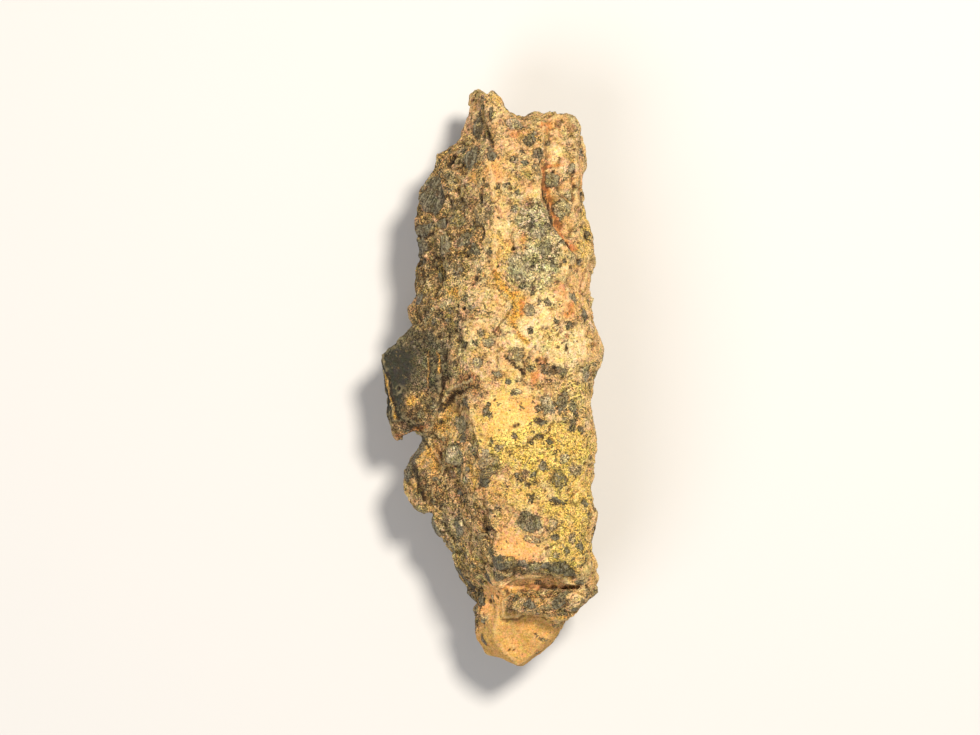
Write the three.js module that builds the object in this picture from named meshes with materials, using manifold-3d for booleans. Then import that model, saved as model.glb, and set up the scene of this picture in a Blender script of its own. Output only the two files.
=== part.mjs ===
// A diogenite meteorite: one broken, desert-weathered stone, lying on its flatter back.
// Millimetres, +Z up. +Y runs along the stone to its forked end, +X to its straighter long edge.
// The origin is on the resting plane, under the middle of the stone's outline.
//
// The stone is built in five steps:
//   1. a long body, lofted through cross-sections between its left and right edges,
//   2. blocks that jut out of it, and breaks that cut into it,
//   3. a roughness that bends every face as a natural break is bent,
//   4. crystals of orthopyroxene that stand out of the finer matrix, and the scars of lost ones,
//   5. a flat to rest on.

import * as THREE from 'three';
import { mergeVertices } from 'three/addons/utils/BufferGeometryUtils.js';
import { ConvexGeometry } from 'three/addons/geometries/ConvexGeometry.js';
import { LoftGeometry } from 'three/addons/geometries/LoftGeometry.js';
import { TessellateModifier } from 'three/addons/modifiers/TessellateModifier.js';
import { ImprovedNoise } from 'three/addons/math/ImprovedNoise.js';
import Module from 'manifold-3d';

const wasm = await Module();
wasm.setup();

// ---------------------------------------------------------------- driving dimensions

const LENGTH = 100; // from the tip of the foot to the top of the fork
const HALF = LENGTH / 2;
const RING_SPACING = 2.2; // between the body's rings
const OVERRUN = 2; // the body runs on past the fork, which then cuts it
const GRAIN_EDGE = 4.2; // longest edge that a face keeps before it is roughened

// The body's two long edges seen from above, as [y, x], from the fork to the tip of the foot.
const LEFT_EDGE = [
  [52, -2.2], [49.5, -3.7], [47.9, -4.5], [44, -5], [41.2, -5.3], [40.3, -6.6], [39.6, -8.5],
  [37.4, -9.6], [35.6, -9.9], [33.9, -11.3], [31.8, -11.8], [30.1, -12.4], [26.4, -13.5],
  [23, -12.8], [20.8, -13.1], [16.8, -13.1], [14.4, -12.9], [11.8, -14.2], [9.5, -13.8],
  [7, -12.8], [3, -11.5], [-9.5, -11.8], [-16, -11.4], [-23.4, -10.2], [-26.5, -9.5], [-28.2, -7.8],
  [-29.3, -7.1], [-32.8, -6.7], [-35.5, -5.2], [-37.4, -3.1], [-41, -2.7], [-43.9, -2.2],
  [-46.2, -2.2], [-47.5, -0.8], [-48.6, 1.2], [-50, 4.4],
];
const RIGHT_EDGE = [
  [52, 13.4], [46, 14.9], [44.9, 15.5], [43.7, 16.2], [41, 17], [37.3, 17.3], [35, 16.1],
  [31.8, 16.1], [28.8, 16.5], [26.8, 16.9], [24, 17.9], [22.2, 18.3], [18.4, 17.9], [16.4, 16.9],
  [14.1, 16.6], [10.4, 17.6], [8.3, 18.7], [5.8, 19.1], [3.2, 18.7], [1.6, 17.7], [-4.7, 16.9],
  [-8.7, 17.6], [-11, 18.1], [-15.9, 18], [-20.7, 17.3], [-22.2, 18.6], [-25, 17.9],
  [-29.7, 17.2], [-33.1, 17.8], [-36, 17.9], [-37.2, 17.2], [-38.5, 15.4], [-41.2, 13.6],
  [-42.9, 12.1], [-45.7, 10.3], [-47.8, 8.5], [-49, 6.7], [-50, 5.2],
];

// The body's highest and lowest lines, as [y, z].
const FRONT_LINE = [
  [52, 17.5], [46, 21.5], [40, 23.6], [36, 26.2], [30, 27], [25, 28.2], [16, 28.7], [10, 29.8],
  [-8, 30.2], [-14, 29.5], [-22, 29.9], [-30, 28.9], [-32, 28.2], [-34.5, 24.8], [-42, 22], [-50, 16],
];
const BACK_LINE = [
  [52, 10], [46, 7], [38, 5], [30, 1.6], [22, -0.8], [8, -1.4], [-12, -1.4], [-20, -0.8],
  [-27, 0.6], [-33, 3.6], [-42, 5.5], [-50, 9.5],
];

// Cross-sections of the body. Each corner is [across, up]: across runs from the left edge (0) to
// the right edge (1), and up from the lowest line (0) to the highest (1). The corners run over
// the front from left to right, and return under the back.
const SECTIONS = [
  { y: 52, corners: [[0, 0.45], [0.1, 0.72], [0.2, 1], [0.45, 0.92], [0.64, 1], [0.7, 0.84],
    [0.9, 0.78], [1, 0.5], [0.92, 0.22], [0.7, 0.05], [0.42, 0], [0.18, 0.08], [0.04, 0.25]] },
  { y: 41, corners: [[0, 0.52], [0.12, 0.73], [0.26, 0.96], [0.46, 0.96], [0.66, 1], [0.7, 0.9],
    [0.9, 0.87], [1, 0.55], [0.94, 0.22], [0.7, 0.05], [0.42, 0], [0.18, 0.06], [0.04, 0.26]] },
  { y: 30, corners: [[0, 0.54], [0.17, 0.73], [0.41, 0.95], [0.58, 1], [0.74, 1], [0.765, 0.92],
    [0.93, 0.84], [1, 0.56], [0.94, 0.2], [0.7, 0.04], [0.45, 0], [0.2, 0.05], [0.04, 0.26]] },
  { y: 22, corners: [[0, 0.55], [0.17, 0.73], [0.42, 0.94], [0.66, 1], [0.86, 0.98], [0.9, 0.89],
    [0.96, 0.78], [1, 0.58], [0.94, 0.22], [0.7, 0.04], [0.45, 0], [0.2, 0.05], [0.04, 0.26]] },
  { y: 3, corners: [[0, 0.56], [0.1, 0.71], [0.25, 0.92], [0.55, 1], [0.86, 0.97], [0.92, 0.95],
    [0.985, 0.86], [1, 0.6], [0.95, 0.25], [0.7, 0.05], [0.45, 0], [0.18, 0.06], [0.03, 0.25]] },
  { y: -18, corners: [[0, 0.53], [0.18, 0.72], [0.35, 0.94], [0.6, 1], [0.85, 0.985], [0.92, 0.97],
    [0.985, 0.88], [1, 0.62], [0.95, 0.25], [0.72, 0.05], [0.46, 0], [0.2, 0.06], [0.04, 0.25]] },
  { y: -31, corners: [[0, 0.5], [0.15, 0.67], [0.31, 0.92], [0.6, 1], [0.85, 0.98], [0.92, 0.96],
    [0.985, 0.87], [1, 0.62], [0.95, 0.25], [0.72, 0.06], [0.46, 0], [0.2, 0.06], [0.05, 0.2]] },
  { y: -50, corners: [[0, 0.5], [0.12, 0.75], [0.3, 0.95], [0.55, 1], [0.75, 0.98], [0.85, 0.92],
    [0.95, 0.8], [1, 0.55], [0.94, 0.25], [0.72, 0.06], [0.46, 0], [0.2, 0.06], [0.05, 0.22]] },
];
// How many faces lie between each corner of a section and the next.
const FACES_BETWEEN = [3, 4, 5, 4, 1, 3, 3, 3, 4, 4, 3, 3, 2];

// ---------------------------------------------------------------- small helpers

const noise = new ImprovedNoise();

// The value at y of a line given as [y, value] pairs, with y falling along the line.
function along(line, y) {
  const i = Math.max(1, line.findIndex(([lower]) => y >= lower));
  const [[y0, v0], [y1, v1]] = [line[i - 1], line[i]];
  return v0 + (v1 - v0) * THREE.MathUtils.clamp((y - y0) / (y1 - y0), 0, 1);
}

function solidFrom(geometry) {
  const bare = new THREE.BufferGeometry().copy(geometry);
  bare.deleteAttribute('normal');
  bare.deleteAttribute('uv');
  const merged = mergeVertices(bare, 1e-4);
  return new wasm.Manifold(new wasm.Mesh({
    numProp: 3,
    vertProperties: new Float32Array(merged.attributes.position.array),
    triVerts: new Uint32Array(merged.index.array),
  }));
}

function geometryFrom(solid) {
  const mesh = solid.getMesh();
  const geometry = new THREE.BufferGeometry();
  geometry.setAttribute('position', new THREE.BufferAttribute(mesh.vertProperties, 3));
  geometry.setIndex(new THREE.BufferAttribute(mesh.triVerts, 1));
  return geometry;
}

// The same surface with no edge longer than the grain, so that roughness can bend it everywhere.
function split(geometry) {
  return new TessellateModifier(GRAIN_EDGE, 24).modify(geometry);
}

// An angular block with flat faces: the hull of its corners.
function block(corners) {
  return solidFrom(split(new ConvexGeometry(corners.map((corner) => new THREE.Vector3(...corner)))));
}

// ---------------------------------------------------------------- 1. the body

function sectionAt(y) {
  const next = Math.max(1, SECTIONS.findIndex((section) => section.y <= y));
  const [above, below] = [SECTIONS[next - 1], SECTIONS[next]];
  const share = THREE.MathUtils.clamp((y - above.y) / (below.y - above.y), 0, 1);
  const [left, right] = [along(LEFT_EDGE, y), along(RIGHT_EDGE, y)];
  const [top, bottom] = [along(FRONT_LINE, y), along(BACK_LINE, y)];
  return above.corners.map((corner, i) => {
    const across = THREE.MathUtils.lerp(corner[0], below.corners[i][0], share);
    const up = THREE.MathUtils.lerp(corner[1], below.corners[i][1], share);
    return new THREE.Vector3(left + (right - left) * across, y, bottom + (top - bottom) * up);
  });
}

function ring(y) {
  const corners = sectionAt(y);
  return corners.flatMap((corner, i) => {
    const next = corners[(i + 1) % corners.length];
    const faces = FACES_BETWEEN[i];
    return Array.from({ length: faces }, (_, k) => corner.clone().lerp(next, k / faces));
  });
}

function body() {
  const count = Math.round((LENGTH + OVERRUN) / RING_SPACING);
  const rings = Array.from({ length: count + 1 }, (_, i) => ring(-HALF + (LENGTH + OVERRUN) * (i / count)));
  return solidFrom(new LoftGeometry(rings, { capStart: true, capEnd: true }));
}

// ---------------------------------------------------------------- 2. blocks and breaks

// The fork, seen from above: everything beyond this line is broken away.
const FORK = [
  [-9, 47.6], [-3.9, 48.6], [-2.9, 49.7], [-1.9, 50.5], [-0.8, 49.3], [0.2, 50.3], [1, 49.2], [2.5, 47],
  [3.9, 45.9], [5.6, 44.6], [6.7, 45.4], [8.1, 46], [10.7, 45.9], [14.1, 45.9], [15.3, 44.9], [22, 44], [22, 56],
  [-9, 56],
];
const FORK_LEAN = 0.1; // the break leans back: it is further out at the back of the stone
const FORK_HEIGHT = 9; // the height at which it has the outline above

// In front of this line the stone has split away down to a smooth joint, the foot's face.
const FOOT_BREAK = [
  [-9, -40], [-3.4, -37.2], [-0.6, -36.2], [1.5, -35.6], [3.6, -34.5], [6.5, -33.9], [10, -34.1],
  [13.6, -34.9], [17, -35.4], [22, -36], [22, -60], [-9, -60],
];
const FOOT_FACE = 22.6; // height of the joint just below the break
const FOOT_FALL = 0.42; // its fall towards the tip, per millimetre

function forkBreak() {
  const shape = new THREE.Shape(FORK.map(([x, y]) => new THREE.Vector2(x, y)));
  const geometry = new THREE.ExtrudeGeometry(shape, { depth: 50, bevelEnabled: false });
  const lean = new THREE.Matrix4().makeShear(0, 0, 0, 0, 0, -FORK_LEAN);
  geometry.translate(0, 0, -20 - FORK_HEIGHT).applyMatrix4(lean);
  return solidFrom(geometry.translate(0, 0, FORK_HEIGHT));
}

function footBreak() {
  const shape = new THREE.Shape(FOOT_BREAK.map(([x, y]) => new THREE.Vector2(x, y)));
  const geometry = new THREE.ExtrudeGeometry(shape, { depth: 25, bevelEnabled: false });
  const start = FOOT_BREAK[5][1];
  const position = geometry.attributes.position;
  for (let i = 0; i < position.count; i++) {
    position.setZ(i, position.getZ(i) + FOOT_FACE + (position.getY(i) - start) * FOOT_FALL);
  }
  return solidFrom(split(geometry));
}

// The shallow slot under the overhang of the break.
const slotUnderBreak = () => block([
  [0.5, -36.4, 22.6], [4, -34.3, 23.6], [9, -33.5, 24], [15, -34.7, 23.4], [15.5, -36.2, 22.6],
  [9, -36.4, 23], [3, -35.8, 21.2], [9, -34.9, 21.4], [14, -35.6, 21.2],
]);

// The wedge left standing on the foot, under the slot.
const wedge = () => block([
  [1.9, -40.6, 19], [2.2, -39, 19.5], [3.5, -37.4, 19.5], [6, -36.5, 19.5], [3.4, -39.9, 23], [4.6, -37.8, 23.6],
  [8.5, -36.6, 24.8], [13, -36.6, 25], [17.2, -35.6, 24.2], [17.6, -36.4, 20], [15.8, -38.6, 22.5],
  [14.4, -40.9, 21], [10, -40, 24], [6, -40.2, 23.6], [9, -40.6, 18], [13.8, -40.9, 16], [16.8, -37.4, 15],
]);

// The dark block that juts out on the left: a flat face, a bevelled rim and a hollow underside.
const juttingBlock = () => block([
  [-13.4, 9.2, 18.5], [-14.2, 7.7, 18.6], [-16.6, 5.6, 17.4], [-18.3, 4, 16.4], [-17.9, 0, 16.2], [-17, -6, 16.4],
  [-19, 3.2, 14], [-18.3, 0, 13.6], [-17.5, -5.9, 13.6], [-16.9, -9.4, 13], [-16.2, -10.3, 14], [-14.9, -10.7, 14.6],
  [-15.4, -7, 17], [-13, -10.2, 15.8], [-10.4, -8.8, 19.6], [-8, 2, 23], [-9.5, 9, 22],
  [-17.1, 4, 6], [-15.8, -6, 7.5], [-8, 8, 3], [-8, -7, 6], [-15, -9.8, 11],
]);
const hollowUnderBlock = () => block([
  [-13.4, -10.7, 19], [-15.6, -9.6, 12], [-12.6, -7, 11.5], [-11, -9.7, 17.6], [-12, -13, 16],
  [-15.4, -13, 9], [-12, -8.4, 8],
]);

// A smaller block below it, with a groove behind and a knob at its foot.
const lowerBlock = () => block([
  [-12, -10.6, 16.8], [-13.3, -13.2, 16], [-14.5, -16.4, 15], [-14.7, -19, 14], [-14, -21.6, 14.4], [-12.6, -23.2, 15],
  [-12.2, -20.6, 17.4], [-11.8, -13.4, 18.4], [-13.8, -17, 8], [-13, -21.5, 9], [-8, -12, 6], [-8, -23, 7], [-9, -16, 18],
]);
const groove = () => block([
  [-12.4, -14, 20.6], [-11.4, -14, 20.6], [-12.1, -14.6, 15.6], [-11.6, -19, 14.4], [-10.4, -22.4, 15.5],
  [-12.4, -18.6, 20], [-10.6, -18.6, 20], [-11.6, -22.6, 19], [-9.8, -22, 19],
]);
const knob = () => solidFrom(
  new THREE.IcosahedronGeometry(1.35, 1).scale(1, 0.8, 1).translate(-11.6, -22.4, 14.6));
// A dark gully runs down beside the ridge, towards the foot.
const gully = () => solidFrom(
  new THREE.IcosahedronGeometry(1, 2).scale(1.7, 5.4, 2.8).rotateZ(0.33).translate(-1.7, -24.4, 27.4));
// A dark crystal clings to the foot's left edge.
const footKnob = () => block([
  [-3, -39.2, 15], [-3.4, -40.5, 14], [-2.9, -41.5, 14.5], [-2, -39, 17], [-1.6, -41.4, 17], [-2, -40, 11],
]);

// ---------------------------------------------------------------- 3. roughness

// Each layer bends the surface by up to its depth, over distances of about its size.
const ROUGHNESS = [
  { size: 9.5, depth: 1.0, seed: 3.7 },
  { size: 3.8, depth: 0.95, seed: 19.2 },
];

function roughen(solid) {
  const geometry = split(geometryFrom(solid));
  const position = geometry.attributes.position;
  const point = new THREE.Vector3();
  const sample = ({ size, seed }, shift) => noise.noise(
    point.x / size + seed + shift, point.y / size + seed - shift, point.z / size + 2 * shift);
  for (let i = 0; i < position.count; i++) {
    point.fromBufferAttribute(position, i);
    const bend = new THREE.Vector3();
    for (const layer of ROUGHNESS) {
      bend.x += layer.depth * sample(layer, 0);
      bend.y += layer.depth * sample(layer, 31.4);
      bend.z += layer.depth * sample(layer, 62.8);
    }
    position.setXYZ(i, point.x + bend.x, point.y + bend.y, point.z + bend.z);
  }
  return solidFrom(geometry);
}

// ---------------------------------------------------------------- 4. crystals and scars

// Where a line of sight from one side of the stone meets it: [side, across, along y].
// Across is x for the front and back, and the height z for the left and right side.
const SIGHT = {
  front: (x, y) => [new THREE.Vector3(x, y, 90), new THREE.Vector3(0, 0, -1)],
  back: (x, y) => [new THREE.Vector3(x, y, -90), new THREE.Vector3(0, 0, 1)],
  left: (z, y) => [new THREE.Vector3(-90, y, z), new THREE.Vector3(1, 0, 0)],
  right: (z, y) => [new THREE.Vector3(90, y, z), new THREE.Vector3(-1, 0, 0)],
  fork: (x, z) => [new THREE.Vector3(x, 90, z), new THREE.Vector3(0, -1, 0)],
};

// Crystals: [side, across, y, width, length, turn in degrees].
const CRYSTALS = [
  ['front', -9.8, 31.9, 4.3, 6.0, -25], ['front', -3.5, 38.5, 2.8, 4.2, -25], ['front', -2.1, 43.4, 2.0, 4.6, 0],
  ['front', -0.9, 28.6, 3.4, 4.8, 5], ['front', -11.6, 24.0, 3.2, 5.4, 10], ['front', 10.9, 34.5, 3.2, 3.3, 30],
  ['front', 12.6, 29.3, 2.6, 3.1, 0], ['front', 14.1, 14.4, 2.2, 2.8, 0], ['front', 4.6, 3.8, 3.3, 2.4, 0],
  ['front', 11.0, 1.4, 3.8, 2.4, 10], ['front', 12.9, -3.7, 2.2, 3.8, -30], ['front', 6.2, 23.0, 4.6, 5.4, 15],
  ['front', -6.8, -13.4, 3.7, 3.5, 40], ['front', -1.3, -15.3, 4.2, 5.2, -35], ['front', 7.0, -25.3, 4.4, 4.0, 20],
  ['front', 12.1, -17.4, 2.5, 3.7, 0], ['front', -8.8, -25.5, 2.4, 4.5, 15], ['front', 3.0, -31.6, 3.2, 2.4, 10],
  ['front', 11.6, -32.6, 4.6, 2.8, -5],
  ['left', 9, 38, 3.4, 4.4, 20], ['left', 5, 26, 4.4, 5.6, 60], ['left', 8, -29, 4, 3.4, 30],
  ['right', 18, 38, 3.6, 4.4, 30], ['right', 11, 31, 4.4, 5.4, 0], ['right', 20, 2, 4, 4.4, 20],
  ['right', 8, -4, 3.6, 4.4, 0], ['right', 10, -21, 5, 4.2, 0],
  ['back', 7, 33, 5, 4.4, 30], ['back', 11, -22, 4.4, 4, 50], ['back', -5, 31, 4, 3.4, 0],
  ['fork', 10, 14, 3.2, 3.4, 0],
];
// Scars, in the same order: hollows with a flat floor, where a crystal or a flake is lost.
const SCARS = [
  ['front', -6.6, 37.4, 4.2, 3.2, 0], ['front', -9.4, 18, 5, 7.5, 20], ['front', 14.8, -20.4, 3.6, 3, 0],
  ['front', -5.6, -4.0, 7.2, 4.8, 25], ['front', -5.5, -19.5, 4.2, 5.5, 30], ['front', 12.8, 42.6, 3.4, 4, 10],
  ['left', 15, 21, 6, 7, 20], ['left', 12, -31, 6, 7, 0],
  ['right', 11, 40, 7, 8, 15], ['right', 20, 26, 6, 8, 0], ['right', 13, -9, 9, 8, 20],
  ['right', 10, -28, 8, 7, 0],
  ['back', 0, 42, 7, 7, 0], ['back', 13, 5, 5, 9, 0], ['back', -5.5, -27.5, 7, 8, 30],
];
const CRYSTAL_PROUD = 0.42; // how far the middle of a crystal's face stands out
const CRYSTAL_ROOT = 1.8; // how deep it sits in the matrix
const SCAR_DEPTH = 0.9; // of the middle of a scar's floor
const SCAR_RIM = 1.6; // how far its cutter reaches out
const FLARE = 1.5; // the wide end of a crystal or cutter against its narrow end
const LEAN = 14; // most that a crystal's face or a scar's floor is tilted, in degrees
const SIDES = 6; // of a crystal or scar

// An irregular tapering prism with its narrow face at one height and its wide face at another.
function prism(width, length, narrowAt, wideAt) {
  const points = [];
  for (let i = 0; i < SIDES; i++) {
    const angle = ((i + 0.7 * THREE.MathUtils.seededRandom()) / SIDES) * 2 * Math.PI;
    const reach = 0.5 * THREE.MathUtils.lerp(0.8, 1.15, THREE.MathUtils.seededRandom());
    const [x, y] = [width * reach * Math.cos(angle), length * reach * Math.sin(angle)];
    points.push(new THREE.Vector3(x, y, narrowAt), new THREE.Vector3(x * FLARE, y * FLARE, wideAt));
  }
  return new ConvexGeometry(points);
}

// The surface and its average direction, around the point that a line of sight meets.
function surfaceSeen(mesh, side, across, y) {
  const [from, toward] = SIGHT[side](across, y);
  const ray = new THREE.Raycaster(from, toward);
  const [hit] = ray.intersectObject(mesh);
  const facing = new THREE.Vector3();
  const step = new THREE.Vector3();
  for (const [a, b] of [[1.2, 0], [-1.2, 0], [0, 1.2], [0, -1.2], [0, 0]]) {
    step.set(a, b, 0).applyQuaternion(new THREE.Quaternion().setFromUnitVectors(new THREE.Vector3(0, 0, -1), toward));
    const [near] = new THREE.Raycaster(from.clone().add(step), toward).intersectObject(mesh);
    if (near) facing.add(near.face.normal);
  }
  return [hit.point, facing.normalize()];
}

function setOnSurface(mesh, [side, across, y, width, length, turn], narrowAt, wideAt, seed) {
  const [point, facing] = surfaceSeen(mesh, side, across, y);
  THREE.MathUtils.seededRandom(seed);
  const geometry = prism(width, length, narrowAt, wideAt);
  const lean = THREE.MathUtils.degToRad(LEAN);
  geometry.rotateX(lean * (2 * THREE.MathUtils.seededRandom() - 1));
  geometry.rotateY(lean * (2 * THREE.MathUtils.seededRandom() - 1));
  geometry.rotateZ(THREE.MathUtils.degToRad(turn));
  geometry.applyQuaternion(new THREE.Quaternion().setFromUnitVectors(new THREE.Vector3(0, 0, 1), facing));
  return solidFrom(geometry.translate(point.x, point.y, point.z));
}

function dress(rough) {
  const mesh = new THREE.Mesh(geometryFrom(rough), new THREE.MeshBasicMaterial({ side: THREE.FrontSide }));
  mesh.geometry.computeVertexNormals();
  let dressed = rough;
  SCARS.forEach((scar, i) => {
    dressed = dressed.subtract(setOnSurface(mesh, scar, -SCAR_DEPTH, SCAR_RIM, 100 + i));
  });
  CRYSTALS.forEach((crystal, i) => {
    dressed = dressed.add(setOnSurface(mesh, crystal, CRYSTAL_PROUD, -CRYSTAL_ROOT, 200 + i));
  });
  return dressed;
}

// ---------------------------------------------------------------- 5. the stone

const broken = body()
  .subtract(forkBreak())
  .subtract(footBreak())
  .subtract(slotUnderBreak())
  .add(juttingBlock())
  .subtract(hollowUnderBlock())
  .add(lowerBlock())
  .subtract(groove())
  .add(knob())
  .subtract(gully())
  .add(wedge())
  .add(footKnob());
const restPlane = solidFrom(new THREE.BoxGeometry(80, 140, 20).translate(0, 0, -10));
const stone = geometryFrom(dress(roughen(broken)).subtract(restPlane));
stone.computeBoundingBox();
const centre = stone.boundingBox.getCenter(new THREE.Vector3());
stone.translate(-centre.x, -centre.y, 0);

const meteorite = new THREE.Mesh(
  stone,
  new THREE.MeshStandardMaterial({ color: 0xb8935a, roughness: 0.92, metalness: 0 }),
);
meteorite.name = 'meteorite';

const group = new THREE.Group();
group.add(meteorite);

export default group;
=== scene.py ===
import math
from functools import partial

import bmesh
import bpy
import numpy as np
from bpy.props import FloatProperty, FloatVectorProperty, IntProperty, PointerProperty
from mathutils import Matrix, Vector, noise


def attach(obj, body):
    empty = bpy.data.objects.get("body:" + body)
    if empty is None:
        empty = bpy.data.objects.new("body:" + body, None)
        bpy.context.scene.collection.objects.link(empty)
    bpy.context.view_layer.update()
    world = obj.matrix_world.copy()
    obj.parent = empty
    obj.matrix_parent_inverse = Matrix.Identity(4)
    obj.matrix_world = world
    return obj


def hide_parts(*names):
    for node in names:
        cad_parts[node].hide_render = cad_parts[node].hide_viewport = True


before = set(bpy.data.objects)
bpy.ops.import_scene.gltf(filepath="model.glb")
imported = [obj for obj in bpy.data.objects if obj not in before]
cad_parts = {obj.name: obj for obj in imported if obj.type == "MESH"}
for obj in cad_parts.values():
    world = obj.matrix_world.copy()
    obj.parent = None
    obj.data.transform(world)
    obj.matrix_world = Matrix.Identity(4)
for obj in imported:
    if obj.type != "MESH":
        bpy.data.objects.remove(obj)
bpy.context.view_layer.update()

bl_info = {
    "name": "Diogenite meteorite",
    "version": (1, 0, 0),
    "blender": (4, 5, 0),
    "location": "3D View > Sidebar > Meteorite",
    "description": "A broken diogenite stone with crystals, veins and weathering, on a pale floor",
    "category": "Object",
}

MM = 0.001

# The camera looks straight down. Places on the upper side are given as it sees them, in
# millimetres on the level where the stone is widest.
CAMERA_HEIGHT = 620.0
CAMERA_OVER = np.array([-0.2, 1.95])
OUTLINE_LEVEL = 14.0

SENSOR_WIDTH = 36

# The soft lights, in metres: place, width, colour. Both are aimed at the stone.
KEY_LIGHT = ((0.21, 0.25, 0.64), 0.15, "#fff8ef")
FILL_LIGHT = ((-0.32, -0.30, 0.55), 0.45, "#f7f7ff")
LIGHT_AIM = (0, 0, 0.015)


def linear(hex_colour):
    """The linear colour, with alpha, of an sRGB hex value."""
    channels = [int(hex_colour[i:i + 2], 16) / 255 for i in (1, 3, 5)]
    return [c / 12.92 if c <= 0.04045 else ((c + 0.055) / 1.055) ** 2.4 for c in channels] + [1.0]


# Finishes of the fine matrix: the colour of its crumbs, the share of it that is small clasts,
# and the share of dark grains among the crumbs.
MATRIX = {
    "tan": ("#d6ae79", 0.08, 0.05),
    "cream": ("#e4cd9e", 0.04, 0.02),
    "peach": ("#d7a369", 0.03, 0.03),
    "rose": ("#caa078", 0.04, 0.05),
    "gold": ("#dab36b", 0.02, 0.04),
    "yellow": ("#dfbe68", 0.12, 0.14),
    "ochre": ("#d5a24a", 0.06, 0.14),
    "orange": ("#c78248", 0.02, 0.04),
    "rust": ("#a66b40", 0.05, 0.18),
    "olive": ("#b59c55", 0.12, 0.26),
    "brown": ("#af8d5a", 0.30, 0.38),
    "umber": ("#7a6139", 0.22, 0.45),
    "granite": ("#c2b892", 0.22, 0.25),
    "ash": ("#5f5943", 0.12, 0.38),
    "slate": ("#35332a", 0.01, 0.06),
    "sand": ("#c79a5b", 0.01, 0.02),
    "clay": ("#d39d5b", 0.02, 0.05),
    "soot": ("#362d20", 0.06, 0.30),
}

# Kinds of crystal and clast: colour, share of dark grains, and how far cleavage shows as stripes.
CRYSTAL_KINDS = {
    "slate": ("#54544a", 0.30, 0.90),
    "bottle": ("#525645", 0.34, 0.70),
    "grey": ("#9b9373", 0.26, 0.45),
    "pale": ("#b1a683", 0.24, 0.25),
    "beige": ("#a89369", 0.28, 0.25),
    "olive": ("#ad9b5f", 0.34, 0.90),
    "blue": ("#7d7965", 0.30, 0.50),
    "brown": ("#806747", 0.36, 0.55),
    "plum": ("#75563f", 0.36, 0.25),
    "salt": ("#8f8668", 0.40, 1.00),
    "black": ("#2c2921", 0.40, 0.10),
}

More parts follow.
